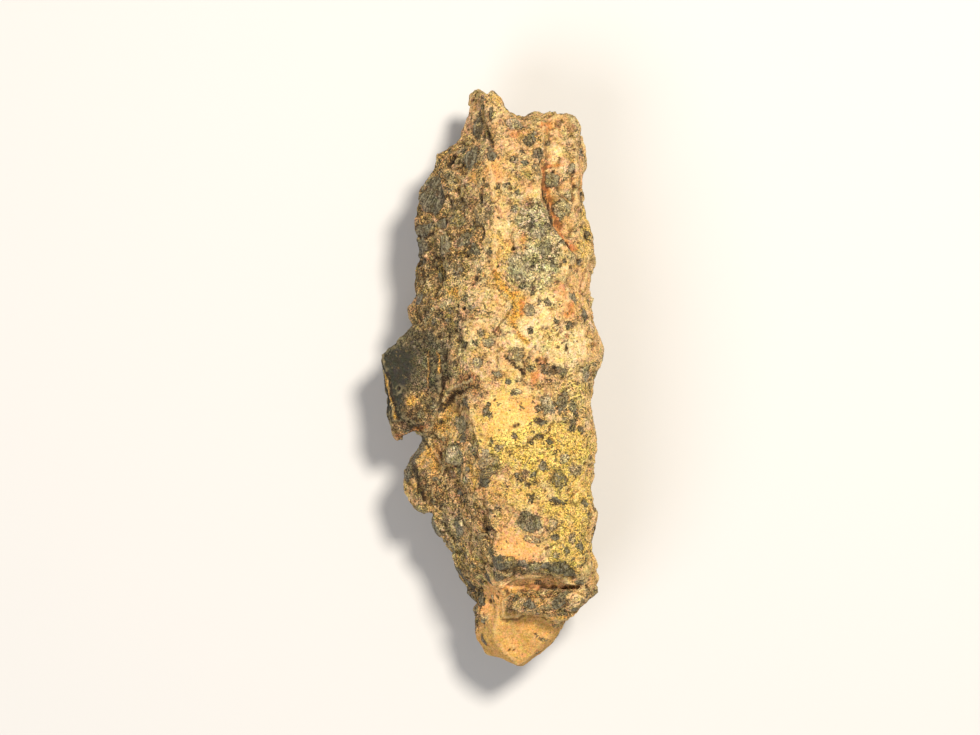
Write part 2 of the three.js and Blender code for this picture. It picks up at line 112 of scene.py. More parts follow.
# Crystals on the upper side: x, y, width, length in millimetres, turn in degrees, kind.
CRYSTALS = (
    (-2.3, 43.4, 2, 3.6, -8, "slate"), (-2.2, 45.9, 0.8, 1.6, -40, "black"),
    (0, 46, 0.8, 2.4, -5, "bottle"), (0, 43.3, 1, 1.6, 0, "olive"),
    (-3.6, 38.5, 2.5, 4, -25, "slate"), (0, 38.5, 1.5, 2.1, 10, "slate"),
    (-10.4, 32, 5.2, 6.6, -20, "slate"), (-5.5, 30.3, 1.8, 3.2, 80, "brown"),
    (-5.9, 27.5, 3.4, 2.4, 0, "olive"), (-1, 29.2, 3.3, 4.8, -15, "beige"),
    (-12.1, 26, 3.8, 2.2, 5, "slate"), (-12.1, 23, 3.2, 3.3, -8, "slate"),
    (-8.6, 26.9, 1.9, 2.3, 10, "slate"), (-7.9, 23.6, 2.3, 3.3, 10, "salt"),
    (-4.7, 24.2, 2.3, 2.9, -50, "salt"), (-2.9, 22.3, 1.6, 2.4, 60, "salt"),
    (-12.5, 20.5, 2.4, 2, 0, "bottle"), (-5.7, 19, 1.9, 2.1, 0, "brown"),
    (-12.7, 14, 1.9, 2.4, 0, "slate"), (-8.9, 17.6, 1.2, 1.6, 30, "bottle"),
    (-9.6, 29, 1.2, 1.5, 0, "slate"), (4.4, 44.3, 2.2, 3.4, 70, "pale"),
    (6.7, 41.4, 2.1, 2.1, 0, "salt"), (7.9, 42.6, 0.9, 0.8, 0, "blue"),
    (8.1, 39.1, 2, 2.5, 0, "salt"), (8.1, 36.4, 1.6, 2.3, 0, "beige"),
    (5.7, 37.6, 1.3, 1.2, 0, "bottle"), (15.8, 39.3, 0.9, 1.7, 0, "blue"),
    (4.4, 32.4, 0.7, 1.2, 0, "blue"), (10.8, 34.5, 3, 2.8, 20, "grey"),
    (13.7, 31.9, 1.4, 1.4, 0, "grey"), (12.6, 29.6, 2.7, 3.3, -20, "pale"),
    (14.3, 36.6, 1.2, 1.4, 0, "grey"), (4.7, 19.6, 3.6, 4.6, 25, "pale"),
    (9.3, 22.4, 2.2, 2.6, 0, "grey"), (8.3, 25.6, 2.4, 2.6, 35, "pale"),
    (10.7, 19.8, 1, 1, 0, "black"), (12.7, 20.4, 0.9, 0.9, 0, "slate"),
    (15.5, 20.2, 1.1, 0.9, 0, "slate"), (14.1, 14.2, 1.8, 2.3, 10, "grey"),
    (6.7, 11.8, 2, 2.4, 0, "pale"), (16.3, 11.3, 2, 2.1, 0, "slate"),
    (13.6, 9.3, 1, 0.9, 0, "slate"), (-0.7, 6.2, 1.4, 2.6, 80, "grey"),
    (4.5, 4.2, 2.2, 3.1, 75, "beige"), (-2.5, 2.9, 1.9, 2.2, 0, "pale"),
    (0.9, 0.8, 1, 2.1, 80, "grey"), (10.6, 1.7, 1.7, 3.7, 80, "brown"),
    (16.3, 1, 2.3, 2.8, 0, "pale"), (12.5, -3.9, 1.7, 3.4, -20, "blue"),
    (14.1, -5.2, 1.4, 2.4, 25, "blue"), (9.6, -4.4, 2.4, 3.6, 15, "pale"),
    (3, -0.4, 0.9, 1, 0, "slate"), (4.7, -2.4, 0.9, 1.6, 60, "grey"),
    (-0.9, -5.6, 1, 2, -30, "slate"), (8.5, -7.4, 1.1, 2.4, 70, "slate"),
    (15.4, -8.9, 1.1, 1.1, 0, "slate"), (4.2, -9.9, 0.8, 0.9, 0, "slate"),
    (-5.2, -7.6, 3.8, 3.6, -20, "grey"), (-5.1, -10.3, 1.6, 2, 70, "bottle"),
    (-6.1, -4.7, 1.7, 2.3, 60, "slate"), (-8.8, -10.8, 0.9, 1.4, 90, "grey"),
    (-6.6, -13.5, 4.2, 3.7, 0, "pale"), (-5.7, -15.9, 1.5, 1.7, 20, "blue"),
    (-7.3, -16.5, 1.5, 2.3, 80, "plum"), (-3.9, -15.7, 0.9, 1, 0, "black"),
    (-1, -12.9, 1.6, 1.4, 0, "pale"), (-1.1, -14.6, 2, 4, -68, "beige"),
    (-0.5, -16.3, 1.9, 4.4, -62, "olive"), (-1.3, -18.1, 1.6, 2.8, -62, "bottle"),
    (-9.9, -17.5, 0.9, 1.3, 0, "bottle"), (-5.5, -19.6, 0.9, 1.1, 80, "slate"),
    (10.2, -11, 1, 1, 0, "slate"), (12.6, -14, 1.5, 1.9, 0, "grey"),
    (12, -17.3, 2.2, 3.3, 5, "olive"), (14.9, -16, 2.2, 2.2, 0, "beige"),
    (9.1, -15.1, 1.4, 1.7, 20, "blue"), (4.4, -16.5, 0.8, 1.1, 0, "black"),
    (5.6, -17, 0.8, 1.7, -20, "plum"), (7.5, -16.5, 0.9, 1.1, -50, "slate"),
    (7.3, -18, 0.9, 0.8, 0, "black"), (6.4, -18.7, 0.9, 0.9, 0, "black"),
    (7.1, -20.3, 0.9, 1.4, 70, "black"), (11, -21.3, 1.1, 2, 70, "slate"),
    (16.2, -21.5, 1.3, 1.3, 0, "slate"), (6.6, -25, 3.9, 3.7, 20, "salt"),
    (7, -28, 1.2, 2.8, 85, "beige"), (10.9, -25.4, 1.4, 2.2, 0, "beige"),
    (11.3, -27.7, 1.3, 1.1, 60, "slate"), (14.2, -27.6, 1.2, 2.2, 0, "beige"),
    (15.6, -29.2, 1.5, 1.2, 0, "slate"), (13, -30, 1.1, 1.5, 0, "bottle"),
    (-12.8, -12.6, 2, 4.9, -28, "slate"), (-13.9, -16.4, 1.8, 2.9, -12, "slate"),
    (-13, -20.2, 1.3, 2, 20, "olive"), (-11.9, -22.7, 2.3, 1.5, 0, "olive"),
    (-9.5, -25.4, 2, 4.8, 10, "bottle"), (-8.1, -24.5, 1.9, 2.3, 0, "beige"),
    (-5.6, -26.1, 2.6, 2.6, 20, "blue"), (-7.5, -28.8, 1.3, 2.2, 40, "bottle"),
    (-5.6, -33.6, 1.8, 3.4, 30, "bottle"), (-3.6, -35.9, 1.5, 2.6, 30, "black"),
    (1.2, -32, 3.6, 2.6, 10, "slate"), (3.4, -31.8, 2.4, 2.3, 0, "olive"),
    (5.3, -32.3, 2.4, 1.7, 0, "slate"), (7.3, -32.8, 2.2, 1.5, 0, "grey"),
    (9.3, -32.5, 1.7, 1.5, 0, "slate"), (11.4, -32.6, 4.2, 2.8, -5, "bottle"),
    (13.5, -33.8, 2.3, 1.9, 0, "slate"), (15.3, -35.1, 2, 1.2, 0, "bottle"),
    (-0.6, -34.8, 2.4, 2.4, 20, "slate"), (1.3, -34.5, 2.2, 1.7, 0, "brown"),
    (4, -37.9, 1.3, 1.3, 0, "bottle"), (6.6, -38.8, 2, 1.6, 0, "slate"),
    (8.6, -37, 1.2, 0.8, 0, "bottle"), (11.6, -38.9, 2.4, 2, 30, "slate"),
    (12.3, -37.4, 1.4, 2.8, -40, "salt"), (14.9, -40, 1.7, 1, 0, "bottle"),
    (0.2, -38, 0.9, 1.2, 0, "grey"), (-1.6, -41.9, 1, 1.6, 0, "slate"),
    (-1.6, -45.5, 1.1, 2.2, 0, "black"), (-1.6, -38, 1.6, 3.4, 0, "bottle"),
    (-3, -40.1, 1.1, 2.3, 0, "black"), (8.1, -44.6, 0.6, 0.9, 40, "brown"),
    (9.2, -45.2, 0.4, 0.9, 80, "olive"),
)

# Patches of matrix on the upper side: x, y, width, length, turn in degrees, finish, strength.
PATCHES = (
    (0, 42, 18, 16, 0, "brown", 0.15), (-8.1, 26.1, 13, 32, -12, "brown", 0.95),
    (-9.6, 10.1, 10, 18, 0, "brown", 0.85), (-10.6, 24, 7, 18, -6, "umber", 0.3),
    (-11.6, 16.6, 4, 9, 0, "umber", 0.45), (-5.1, -22, 11, 24, 18, "brown", 0.42),
    (-4.1, -35.9, 6, 12, 18, "brown", 0.4), (-4.2, -31, 4, 5, 10, "olive", 0.6),
    (-2.9, 45.1, 4.6, 7, 0, "rose", 0.6), (-4.6, 33.1, 5, 8, -10, "tan", 0.5),
    (-2.9, 34.9, 2.2, 2.3, 20, "clay", 0.85), (-6.8, 35, 1.6, 1.7, 0, "olive", 0.7),
    (-8, 16, 8, 6, 0, "olive", 0.45), (-8, 29.4, 3, 6, 0, "umber", 0.4),
    (-8.2, 13.6, 4.6, 6, 0, "umber", 0.35), (-4.5, 10, 3.6, 5, 0, "brown", 0.45),
    (-10, 9.5, 5, 7, 10, "umber", 0.35), (-5.4, 4.4, 6, 6, 0, "olive", 0.4),
    (-5.6, 21.4, 5, 6, 0, "umber", 0.35), (3.4, 39.2, 6, 8, 0, "tan", 0.6),
    (0.4, 35.9, 3.2, 3.6, 0, "peach", 0.9), (1.8, 33.2, 3.6, 8, 0, "tan", 0.8),
    (-3.8, 13.6, 3.6, 4.4, 0, "brown", 0.5), (11.3, 39.4, 2.9, 2.4, 0, "cream", 0.8),
    (13.2, 38, 5.6, 14, 0, "rose", 0.45), (13.6, 32, 5.6, 9, 0, "rose", 0.35),
    (3.4, 43.8, 5, 4, 0, "rose", 0.5), (14.8, 33.4, 2, 4, 0, "clay", 0.5),
    (1.9, 29, 3.4, 7, 0, "tan", 0.6), (2.2, 26.2, 3.4, 3.2, 0, "cream", 0.7),
    (1.4, 22.7, 4.2, 8, 5, "yellow", 0.35), (5.1, 35.1, 4.2, 1.8, 0, "olive", 0.85),
    (7.6, 27.7, 6.4, 6.2, 25, "granite", 0.95), (7.3, 19.5, 9, 8.6, 20, "granite", 0.9),
    (10.6, 24, 3.4, 6, 20, "granite", 0.85), (9.7, 43.7, 2.4, 2.4, 0, "orange", 0.85),
    (3.8, 42.3, 1.3, 2.1, 70, "orange", 0.75), (5.6, 33.4, 1.9, 1.9, 0, "clay", 0.85),
    (6.3, 30.7, 2.1, 2.4, 30, "rust", 0.55), (5.6, 23.7, 1.3, 2.9, 0, "orange", 0.7),
    (6.9, 13.9, 1.4, 2, 60, "orange", 0.8), (12, 15.4, 1.9, 5, 30, "orange", 0.55),
    (13.6, 12.2, 2, 3, -20, "orange", 0.85), (9, 13.6, 4, 4, 0, "cream", 0.7),
    (16.1, 22.8, 2.6, 3, 0, "yellow", 0.8), (16.7, 27.6, 1.6, 8, 0, "yellow", 0.6),
    (-6.5, 15, 1.6, 2.8, 60, "ochre", 0.85), (-6.7, 11.9, 3, 6, 0, "olive", 0.5),
    (1.3, 8.1, 2, 3.2, 75, "rust", 0.5), (5.9, 8.6, 9, 8, 0, "cream", 0.62),
    (12.9, 5.6, 8, 8, 0, "cream", 0.6), (10.6, 7.7, 3, 4, 40, "yellow", 0.5),
    (-1.6, 5, 5, 6, 0, "tan", 0.6), (8.8, 2.6, 1.6, 2.8, -40, "rust", 0.75),
    (7.7, 0.4, 1.6, 3, -25, "orange", 0.85), (11.4, 0.2, 4, 3, 80, "brown", 0.55),
    (13.1, 7.5, 0.8, 0.9, 0, "rust", 0.9), (17.8, 6.1, 0.9, 0.9, 0, "rust", 0.8),
    (3.2, 1, 3.4, 4, 0, "gold", 0.7), (2.6, -7.8, 11.5, 10, 20, "gold", 0.9),
    (3.6, -2.6, 6, 3.6, 0, "gold", 0.6), (6.5, -4.9, 5, 2.8, -15, "peach", 0.65),
    (10, -12.3, 16, 10, 0, "yellow", 1), (2.5, -12, 6, 5, 0, "yellow", 0.9),
    (13.3, -21.4, 9, 14, 0, "yellow", 0.9), (13.5, -29.5, 7.5, 8, 0, "yellow", 0.9),
    (14, -2.5, 6, 9, 0, "granite", 0.4), (14, -4, 6, 9, 0, "yellow", 0.45),
    (5.6, 12.6, 5, 5, 0, "cream", 0.4), (-7, -24.5, 4, 6, 20, "granite", 0.5),
    (15, -19, 3, 3.6, 0, "gold", 0.5), (9.4, -19.6, 3.2, 3.2, 0, "cream", 0.6),
    (1.2, -19.9, 4.2, 7.6, 80, "clay", 0.65), (6, -19.6, 8, 6, 0, "yellow", 0.55),
    (2.6, -23, 6, 5, 0, "tan", 0.5), (4.9, -29.4, 7.8, 4.8, -6, "peach", 1),
    (2.9, -26.9, 3.2, 3.6, 0, "peach", 0.7), (11, -25.6, 2.4, 6, 0, "umber", 0.35),
    (15.4, -25, 2, 3, 0, "olive", 0.5), (-3.6, -0.8, 4.4, 4.4, -50, "rust", 0.6),
    (-4, -0.8, 6, 3.8, -40, "umber", 0.55), (-7.6, -6.4, 2.4, 2.2, 0, "ochre", 0.8),
    (-8.6, -8.8, 2.6, 2.2, 0, "ochre", 0.6), (-3.5, -11.6, 2.6, 3.6, 20, "umber", 0.4),
    (-2.4, -7, 2.4, 5, 0, "tan", 0.5), (-3, -16.9, 1.6, 4, 10, "ochre", 0.7),
    (-9.9, -14.4, 2.2, 5, 0, "ochre", 0.6), (-9, -13, 1.2, 2.6, 0, "rust", 0.7),
    # The umber patches at -3.3, -21.6, at -1.6, -25 and at -0.3, -28.6 darken the gully between the
    # front and the lower left flank partly as painted shade.
    (-6.6, -20.6, 6, 5, 0, "brown", 0.5), (-3.3, -21.6, 2, 5.4, 26, "umber", 0.35),
    (-1.6, -25, 2.2, 6, 16, "umber", 0.6), (-0.3, -28.6, 1.6, 4, 20, "umber", 0.5),
    (-6.4, -29.8, 4, 6, 20, "olive", 0.5), (-2.2, -33.6, 3, 4, 20, "olive", 0.5),
    (-8, 7, 7, 4, 0, "ash", 0.5), (-8.8, 2.6, 4.6, 9, 0, "ash", 0.55),
    (-8.6, 0.4, 2.6, 8, 0, "umber", 0.35), (-12.2, -3.9, 7, 4, 0, "brown", 0.9),
    (-10.6, -4.8, 4, 3, 0, "ash", 0.6), (-13.8, -3.7, 1.6, 1.6, -40, "ochre", 0.7),
    # The umber patch at -14.4, -7.6 and the soot patch at -14.6, -7.4 darken the foot of the dark
    # block partly as painted shade, where it faces away from the light.
    (-10.3, -7.2, 5, 6, 0, "umber", 0.75), (-14.4, -7.6, 6.6, 6, 20, "umber", 1),
    (-14.6, -7.4, 5.4, 3.6, 20, "soot", 0.6), (-15.3, -10, 3.6, 1.3, 10, "rust", 0.8),
    (-13, -9.1, 2.6, 1, 25, "orange", 0.6), (-11.2, -13, 1.4, 5, -20, "ochre", 0.6),
    (-12, -17.6, 1.7, 5.6, -10, "soot", 0.75), (-10.9, -17.6, 1.4, 5, -10, "brown", 0.8),
    (-13, -19, 1.6, 2.6, 0, "ochre", 0.6), (4.4, -32.8, 9, 2.8, 0, "umber", 0.8),
    (12.4, -33, 9, 2.6, 0, "olive", 0.8), (6.4, -34.9, 8.6, 1.7, 0, "tan", 1),
    (12.8, -35.4, 6, 1.8, -4, "tan", 0.9), (5.4, -36.2, 13, 0.9, 2, "peach", 1),
    (0.2, -38.4, 4.4, 6, 4, "peach", 1), (9, -38.4, 13.6, 4.4, 3, "brown", 0.85),
    (8.3, -38.3, 2.6, 2.4, 0, "clay", 0.6), (14.6, -37.4, 3.4, 2.6, 0, "tan", 0.8),
    (11.2, -40.6, 8.4, 1, 3, "brown", 0.7), (11.4, -41.4, 8.4, 0.6, 3, "ochre", 0.8),
    (4.5, -45.4, 17, 9.4, 0, "sand", 1), (3.6, -48.9, 10, 3, 20, "olive", 0.35),
    (-2.7, -43.6, 1.4, 7, 4, "umber", 0.8), (-2, -37.6, 1.8, 5, 0, "umber", 0.55),
)

# Breaks with a finish of their own: finish, strength, width of the edge, outline.
PLATES = (
    ("ash", 0.95, 1.4, ((-20.5, 5), (-14.1, 9.2), (-10.2, 8.2), (-7.7, 5.1), (-7.4, 0.3),
                        (-8.9, -2.6), (-11.4, -2.2), (-14.9, -2.6), (-15.3, -6.8), (-18, -7.4),
                        (-20.5, -1))),
    ("slate", 1, 2.4, ((-20.5, 4.7), (-17.3, 6), (-13.4, 5.3), (-13.2, 1.9), (-14.2, -1.4),
                       (-15.1, -3.9), (-15.5, -7.2), (-18, -7), (-20.5, -1))),
)

# Veins, cracks and ridges on the upper side: finish, width, lift (a crack is below 0), points.
VEINS = (
    ("orange", 0.55, -0.25, ((9.1, 36.5), (9.2, 34.6), (9.5, 33.2))),
    ("orange", 0.95, -0.35, ((9.8, 33), (10.4, 31.2), (10.9, 29.2), (11.7, 27.4))),
    ("orange", 0.8, -0.35, ((11.7, 27.4), (12.3, 25.6), (13.4, 23.8), (14.4, 22.4))),
    ("soot", 0.3, -0.4, ((9.4, 32.6), (9.9, 30.4), (10.4, 28.3), (11.6, 26), (12.7, 24.2),
                         (13.8, 22.8), (14.8, 20.6))),
    ("orange", 0.4, -0.05, ((9.2, 36.5), (10.6, 37.1), (12.3, 37.1))),
    ("ochre", 1.1, -0.1, ((0.7, 18.7), (1.2, 17.4), (2, 16), (3.6, 14.3))),
    ("ochre", 2.4, -0.1, ((4.2, 13.9), (5, 12.6), (4.6, 11.4), (3.6, 10.6))),
    ("orange", 0.7, 0, ((5.4, 13.2), (5.6, 12), (5.3, 11.2))),
    ("ochre", 0.8, -0.1, ((3.6, 10.6), (4.4, 8.4), (5.2, 7.2), (6.4, 6.2))),
    ("brown", 0.3, -0.25, ((10.3, 9.4), (11.9, 8.2), (12.7, 6.8), (13.1, 5.2))),
    ("cream", 0.35, 0.2, ((8, 9.2), (10.2, 9.6), (11.6, 8.6), (14.8, 3.4))),
    ("umber", 0.25, -0.2, ((2.5, 3.8), (3.5, 3), (4.5, 2.1), (5.4, 1.6))),
    ("soot", 0.6, -0.35, ((5.4, 1.7), (5.7, 0.8))),
    ("cream", 0.25, 0.3, ((-9.4, -5), (-6.7, -1.5), (-3.3, -0.2))),
    ("umber", 0.9, -0.3, ((-8.6, -5.2), (-6.2, -2.6), (-3.6, -1.4))),
    ("soot", 0.5, -0.45, ((-13.3, 24.7), (-11.8, 24.7), (-10.4, 25.1))),
    ("cream", 0.25, 0.25, ((-8.9, 27.4), (-8.6, 25.6), (-7.8, 24.9))),
    ("ochre", 0.25, 0.3, ((-7.3, 28.6), (-5.8, 28.9), (-4.6, 28.7))),
    ("soot", 0.6, -0.5, ((-12.8, -15), (-12.2, -18.2), (-11.6, -21))),
    ("ochre", 0.22, 0.18, ((-18.2, 0.8), (-17.7, -2.4), (-16.9, -5.4), (-16.5, -7))),
    ("soot", 0.3, -0.2, ((-17.9, 1), (-17.3, -2.4), (-16.6, -5.4), (-16.2, -7))),
    ("clay", 0.22, -0.05, ((-10.8, 4.7), (-10.8, 1.5), (-11, -1.7))),
    ("ochre", 0.3, -0.1, ((-9.3, 4.6), (-9, 2.6), (-9.1, 1))),
    ("soot", 0.3, -0.3, ((-8.8, 2), (-8.3, -0.3), (-8.6, -3.3))),
    ("tan", 0.8, -0.2, ((9.5, -23.5), (9.6, -27.1), (9.3, -30.9))),
    ("soot", 0.3, -0.3, ((8.8, -35.9), (9.8, -36.1), (10.8, -36))),
    ("clay", 0.25, 0.1, ((2, -40.9), (2, -38.9), (3, -37.4), (5, -36.6))),
    ("umber", 0.5, -0.4, ((-0.6, 43.7), (-0.3, 41.8), (0.3, 40.4))),
    # The brown grooves here are darkened partly as painted shade, and the tan ridge beside them is
    # lighter partly as painted highlight.
    ("brown", 0.45, -0.35, ((-1.3, 34.5), (-1.8, 31.5), (-1.1, 28.6), (-1.3, 25.7), (-2, 23.2))),
    ("tan", 0.7, 0.3, ((0.2, 36), (0.5, 31), (0.9, 26), (0.6, 21))),
    ("brown", 0.5, -0.35, ((-5.4, 33), (-5, 28.6), (-5.6, 24.6))),
)

# Breaks with crisp edges, as outlines with a lift inside them and the width of their edge.
STEPS = (
    (0.7, 0.4, ((1.8, -41.4), (1.65, -40.1), (2, -38.5), (3.35, -37.2), (5.2, -36.7),
                (7.8, -36.2), (10.4, -36.4), (12.4, -36.4), (14.6, -37), (16.1, -38),
                (15.3, -39.5), (14.8, -40.4), (10.4, -39.8), (7.8, -40.1), (4.6, -41.4))),
    (-0.4, 0.5, ((1.5, -35.1), (3.3, -34.2), (5.4, -33.8), (8.8, -33.8), (11.9, -34.5),
                 (13.6, -35.2), (11.9, -35.6), (9.3, -35.7), (2.3, -36), (0, -36.3))),
    (0.8, 0.9, ((11.2, -35.3), (13.4, -35.1), (16.6, -34.9), (16.8, -36.6), (11.4, -36.5))),
    (-0.75, 0.7, ((9.4, 46), (9.3, 36.8), (9.2, 34.4), (9.6, 32.7), (10.2, 30.8), (10.6, 29),
                  (11.3, 27.9), (12.2, 26.1), (13.8, 24), (17, 21), (19.5, 26), (19.5, 48))),
)

# Small open pores: x, y, radius, depth.
PORES = (
    (-5.7, 12.6, 0.34, 0.7), (-4.9, 12.3, 0.34, 0.7), (1, 19.4, 0.32, 0.6),
    (0.7, -3.8, 0.24, 0.5), (-11.8, 20.5, 0.5, 0.5), (3, -47.1, 0.3, 0.4),
    (4, -46.9, 0.25, 0.4), (-1.7, 22.5, 0.4, 0.4), (-6.7, 37.7, 0.8, 0.5),
    (-3.3, 16.3, 0.3, 0.5), (-8.3, 20.7, 0.4, 0.5), (-9.1, 7.3, 0.4, 0.5),
    (-6.3, 8.5, 0.35, 0.5), (0.6, 33, 0.3, 0.4), (-6.1, -12, 0.3, 0.4),
)

# Smoother breaks on the upper side: x, y, width, length.
CALM = (
    (4.5, -45.2, 16, 9.5), (5.1, -29.4, 8, 5), (-14.7, 0.6, 8, 12), (0.3, -38.4, 4.6, 5.6),
    (3.3, -5.9, 9, 11), (6.5, -35.2, 12, 2.4),
)

# Small level pushes that bring the outline to its place: x, y, reach, push along x and along y.
NUDGES = (
    (-14.4, -14.6, 3, -0.7, 0), (-14.6, -19, 2.5, -0.3, 0), (16.7, 38.4, 2.5, -0.35, 0),
)

# Finishes that stain the others, and so lie over them.
STAINS = ("gold", "yellow", "cream", "peach", "ochre", "orange", "rust", "sand")

# Clouds of weathering: finish, size, seed, where a cloud starts, where it is full, strength.
# The broad ones are all round, and the small ones lie over the patches.
BROAD_CLOUDS = (
    ("brown", 11, 3.1, 0, 0.45, 0.75), ("peach", 9, 8.4, 0.1, 0.5, 0.75),
    ("yellow", 12, 5.7, 0.12, 0.5, 0.75), ("granite", 8, 12.9, 0.2, 0.5, 0.75),
    ("rust", 7, 17.3, 0.28, 0.55, 0.75), ("cream", 6, 21.9, 0.25, 0.5, 0.75),
)
SMALL_CLOUDS = (
    ("cream", 2.6, 31.1, 0.05, 0.4, 0.4), ("umber", 1.7, 37.7, 0.12, 0.45, 0.22),
    ("rose", 2.4, 43.3, 0.08, 0.4, 0.45), ("olive", 2.7, 55.1, 0.14, 0.45, 0.25),
    ("granite", 1.9, 49.9, 0.12, 0.42, 0.3),
)

# Crystals and pores that are scattered, and not set one by one.
SCATTERED_KINDS = ("slate", "bottle", "grey", "pale", "beige", "olive", "brown")
FLANK_LEAN = 0.12  # a point that faces up less than this belongs to the flanks or the back
FLOOR_GAP = 0.6  # no scattered crystal lies closer to the floor
SCATTERED_PORES = 360

CRYSTAL_REACH = 1.6  # how far above or below its place a crystal still takes in the surface
MOST_SHIFT = 0.6  # how far a point moves, at most, on to a crystal's face

CREASE_DEPTH, CREASE_WIDTH = 0.12, 0.1  # the crease round a facet, as shares of its depth and size
GROOVE_DEPTH, GROOVE_WIDTH = 0.15, 0.12  # the groove round a coarse grain, in the same way
FLANK_ROUGHNESS = 1.5  # relief of the flanks, as a share of the relief on top
FLAT_EDGE = 1.2  # the relief fades out below this height, so that the flat underneath stays flat

SEED = 41
WANDER_SEED, RAGGED_SEED, FACET_SEED, GRAIN_SEED = 9.8, 14.1, 7.3, 4.4
LUMP_SEED, SMALL_LUMP_SEED = 1.3, 6.2


# ------------------------------------------------------------------ settings

class StoneSettings(bpy.types.PropertyGroup):
    """Sizes that shape the stone's surface."""

    mesh_grain: FloatProperty(
        name="Mesh grain", description="Spacing of the points that carry the stone's relief",
        default=0.37 * MM, min=0.2 * MM, unit="LENGTH")
    smoothing: IntProperty(
        name="Smoothing", description="Passes that soften the flat faces the stone is built from",
        default=6, min=0)
    break_size: FloatProperty(
        name="Break size", description="Size of the facets that the stone broke along",
        default=4.6 * MM, unit="LENGTH")
    break_depth: FloatProperty(
        name="Break depth", description="How far a facet stands out or lies back",
        default=0.36 * MM, unit="LENGTH")
    lump_size: FloatProperty(
        name="Lump size", description="Distance over which the surface rises and falls",
        default=2.6 * MM, unit="LENGTH")
    lump_depth: FloatProperty(
        name="Lump depth", description="How far those rises and falls reach",
        default=0.18 * MM, unit="LENGTH")
    grain_size: FloatProperty(
        name="Grain size", description="Size of the coarser grains packed in the matrix",
        default=1.25 * MM, unit="LENGTH")
    grain_depth: FloatProperty(
        name="Grain depth", description="How far a grain stands out or lies back",
        default=0.16 * MM, unit="LENGTH")
    flank_crystals: IntProperty(
        name="Crystals on the flanks",
        description="Large crystals scattered over the flanks and the back", default=150, min=0)


class StageSettings(bpy.types.PropertyGroup):
    """The floor, the lights and the camera."""

    floor_colour: FloatVectorProperty(
        name="Floor colour", description="Colour of the pale floor", subtype="COLOR", size=4,
        default=linear("#cfcdc8"), min=0, max=1)
    floor_size: FloatProperty(
        name="Floor size", description="Side of the square floor", default=3.0, unit="LENGTH")
    camera_height: FloatProperty(
        name="Camera height", description="Height of the camera above the floor",
        default=CAMERA_HEIGHT * MM, unit="LENGTH")
    view_width: FloatProperty(
        name="View width", description="Width that the camera takes in where the stone is widest",
        default=169.8 * MM, unit="LENGTH")
    key_power: FloatProperty(
        name="Key light", description="Power of the large soft light, in watts", default=6.6, min=0)
    fill_power: FloatProperty(
        name="Fill light", description="Power of the soft light opposite, in watts",
        default=2.3, min=0)
    room_light: FloatProperty(
        name="Room light", description="Strength of the even light from all round",
        default=0.27, min=0)


# ------------------------------------------------------------------ small helpers

def smoothstep(low, high, value):
    """0 at `low` and beyond it, 1 at `high` and beyond it, and smooth between them."""
    share = np.clip((value - low) / (high - low), 0, 1)
    return share * share * (3 - 2 * share)


def drift(points, size, seed):
    """Smooth random values from -1 to 1 that change over about `size`, one for each point."""
    shift = Vector((seed, 2.7 * seed, -1.9 * seed))
    return np.array([noise.noise(Vector(p) / size + shift) for p in points.tolist()])


def cells(points, size, seed):
    """Grains about `size` across: how far each point is lifted by its grain, which has a random
    height and tilt, and its gap to the next grain as a share of the size."""
    shift = Vector((seed, -seed, 2 * seed))
    lift, gap = np.empty(len(points)), np.empty(len(points))
    for i, p in enumerate(points.tolist()):
        place = Vector(p) / size + shift
        distances, centres = noise.voronoi(place)
        # A grain's random numbers come from its centre, spread out so that neighbours differ.
        height = noise.cell_vector(centres[0] * 61.7).x - 0.5
        lean = noise.cell_vector(centres[0] * 37.3) - Vector((0.5, 0.5, 0.5))
        lift[i] = height + 1.3 * lean.dot(place - centres[0])
        gap[i] = distances[1] - distances[0]
    return lift, gap


def neighbour_mean(values, edges, counts):
    """The mean of the values at each point's neighbours."""
    total = np.empty_like(values)
    for axis in range(values.shape[1]):
        total[:, axis] = (np.bincount(edges[:, 0], values[edges[:, 1], axis], len(values))
                          + np.bincount(edges[:, 1], values[edges[:, 0], axis], len(values)))
    return total / counts[:, None]


def relaxed(points, edges, counts, passes, step=0.5):
    """The points after each has moved by `step` towards the middle of its neighbours, again
    and again."""
    for _ in range(passes):
        points = points + step * (neighbour_mean(points, edges, counts) - points)
    return points


def softened(points, edges, counts, passes):
    """Rounds edges without shrinking the stone: each step inwards is followed by one outwards."""
    for _ in range(passes):
        for step in (0.6, -0.62):
            points = relaxed(points, edges, counts, 1, step)
    return points


def read_vectors(items, field):
    """The vector that each item holds, as rows of numbers."""
    flat = np.empty(len(items) * 3, dtype=np.float32)
    items.foreach_get(field, flat)
    return flat.reshape(-1, 3).astype(np.float64)


def write_attribute(mesh, name, kind, values):
    """Gives each point of the mesh a number or a colour that its material can read."""
    attribute = mesh.attributes.new(name, kind, "POINT")
    field = "value" if kind == "FLOAT" else "color"
    attribute.data.foreach_set(field, np.ascontiguousarray(values, dtype=np.float32).ravel())


def add_object(name, mesh):
    """An object in the scene that shows the mesh."""
    piece = bpy.data.objects.new(name, mesh)
    bpy.context.scene.collection.objects.link(piece)
    return piece


# Sockets of a Mix node besides its share at 0: two numbers, two vectors, two colours and, of
# each, the result.
N1, N2, NUMBER = 2, 3, 0
V1, V2, VECTOR = 4, 5, 1
C1, C2, COLOUR = 6, 7, 2


def node(tree, kind, inputs=None, **settings):
    """Adds a node with its settings, and gives its outputs. Each input takes a number, a colour
    or another node's output."""
    made = tree.nodes.new("ShaderNode" + kind)
    for name, value in settings.items():
        setattr(made, name, value)
    for key, value in (inputs or {}).items():
        if isinstance(value, bpy.types.NodeSocket):
            tree.links.new(value, made.inputs[key])
        else:
            made.inputs[key].default_value = value
    return made.outputs


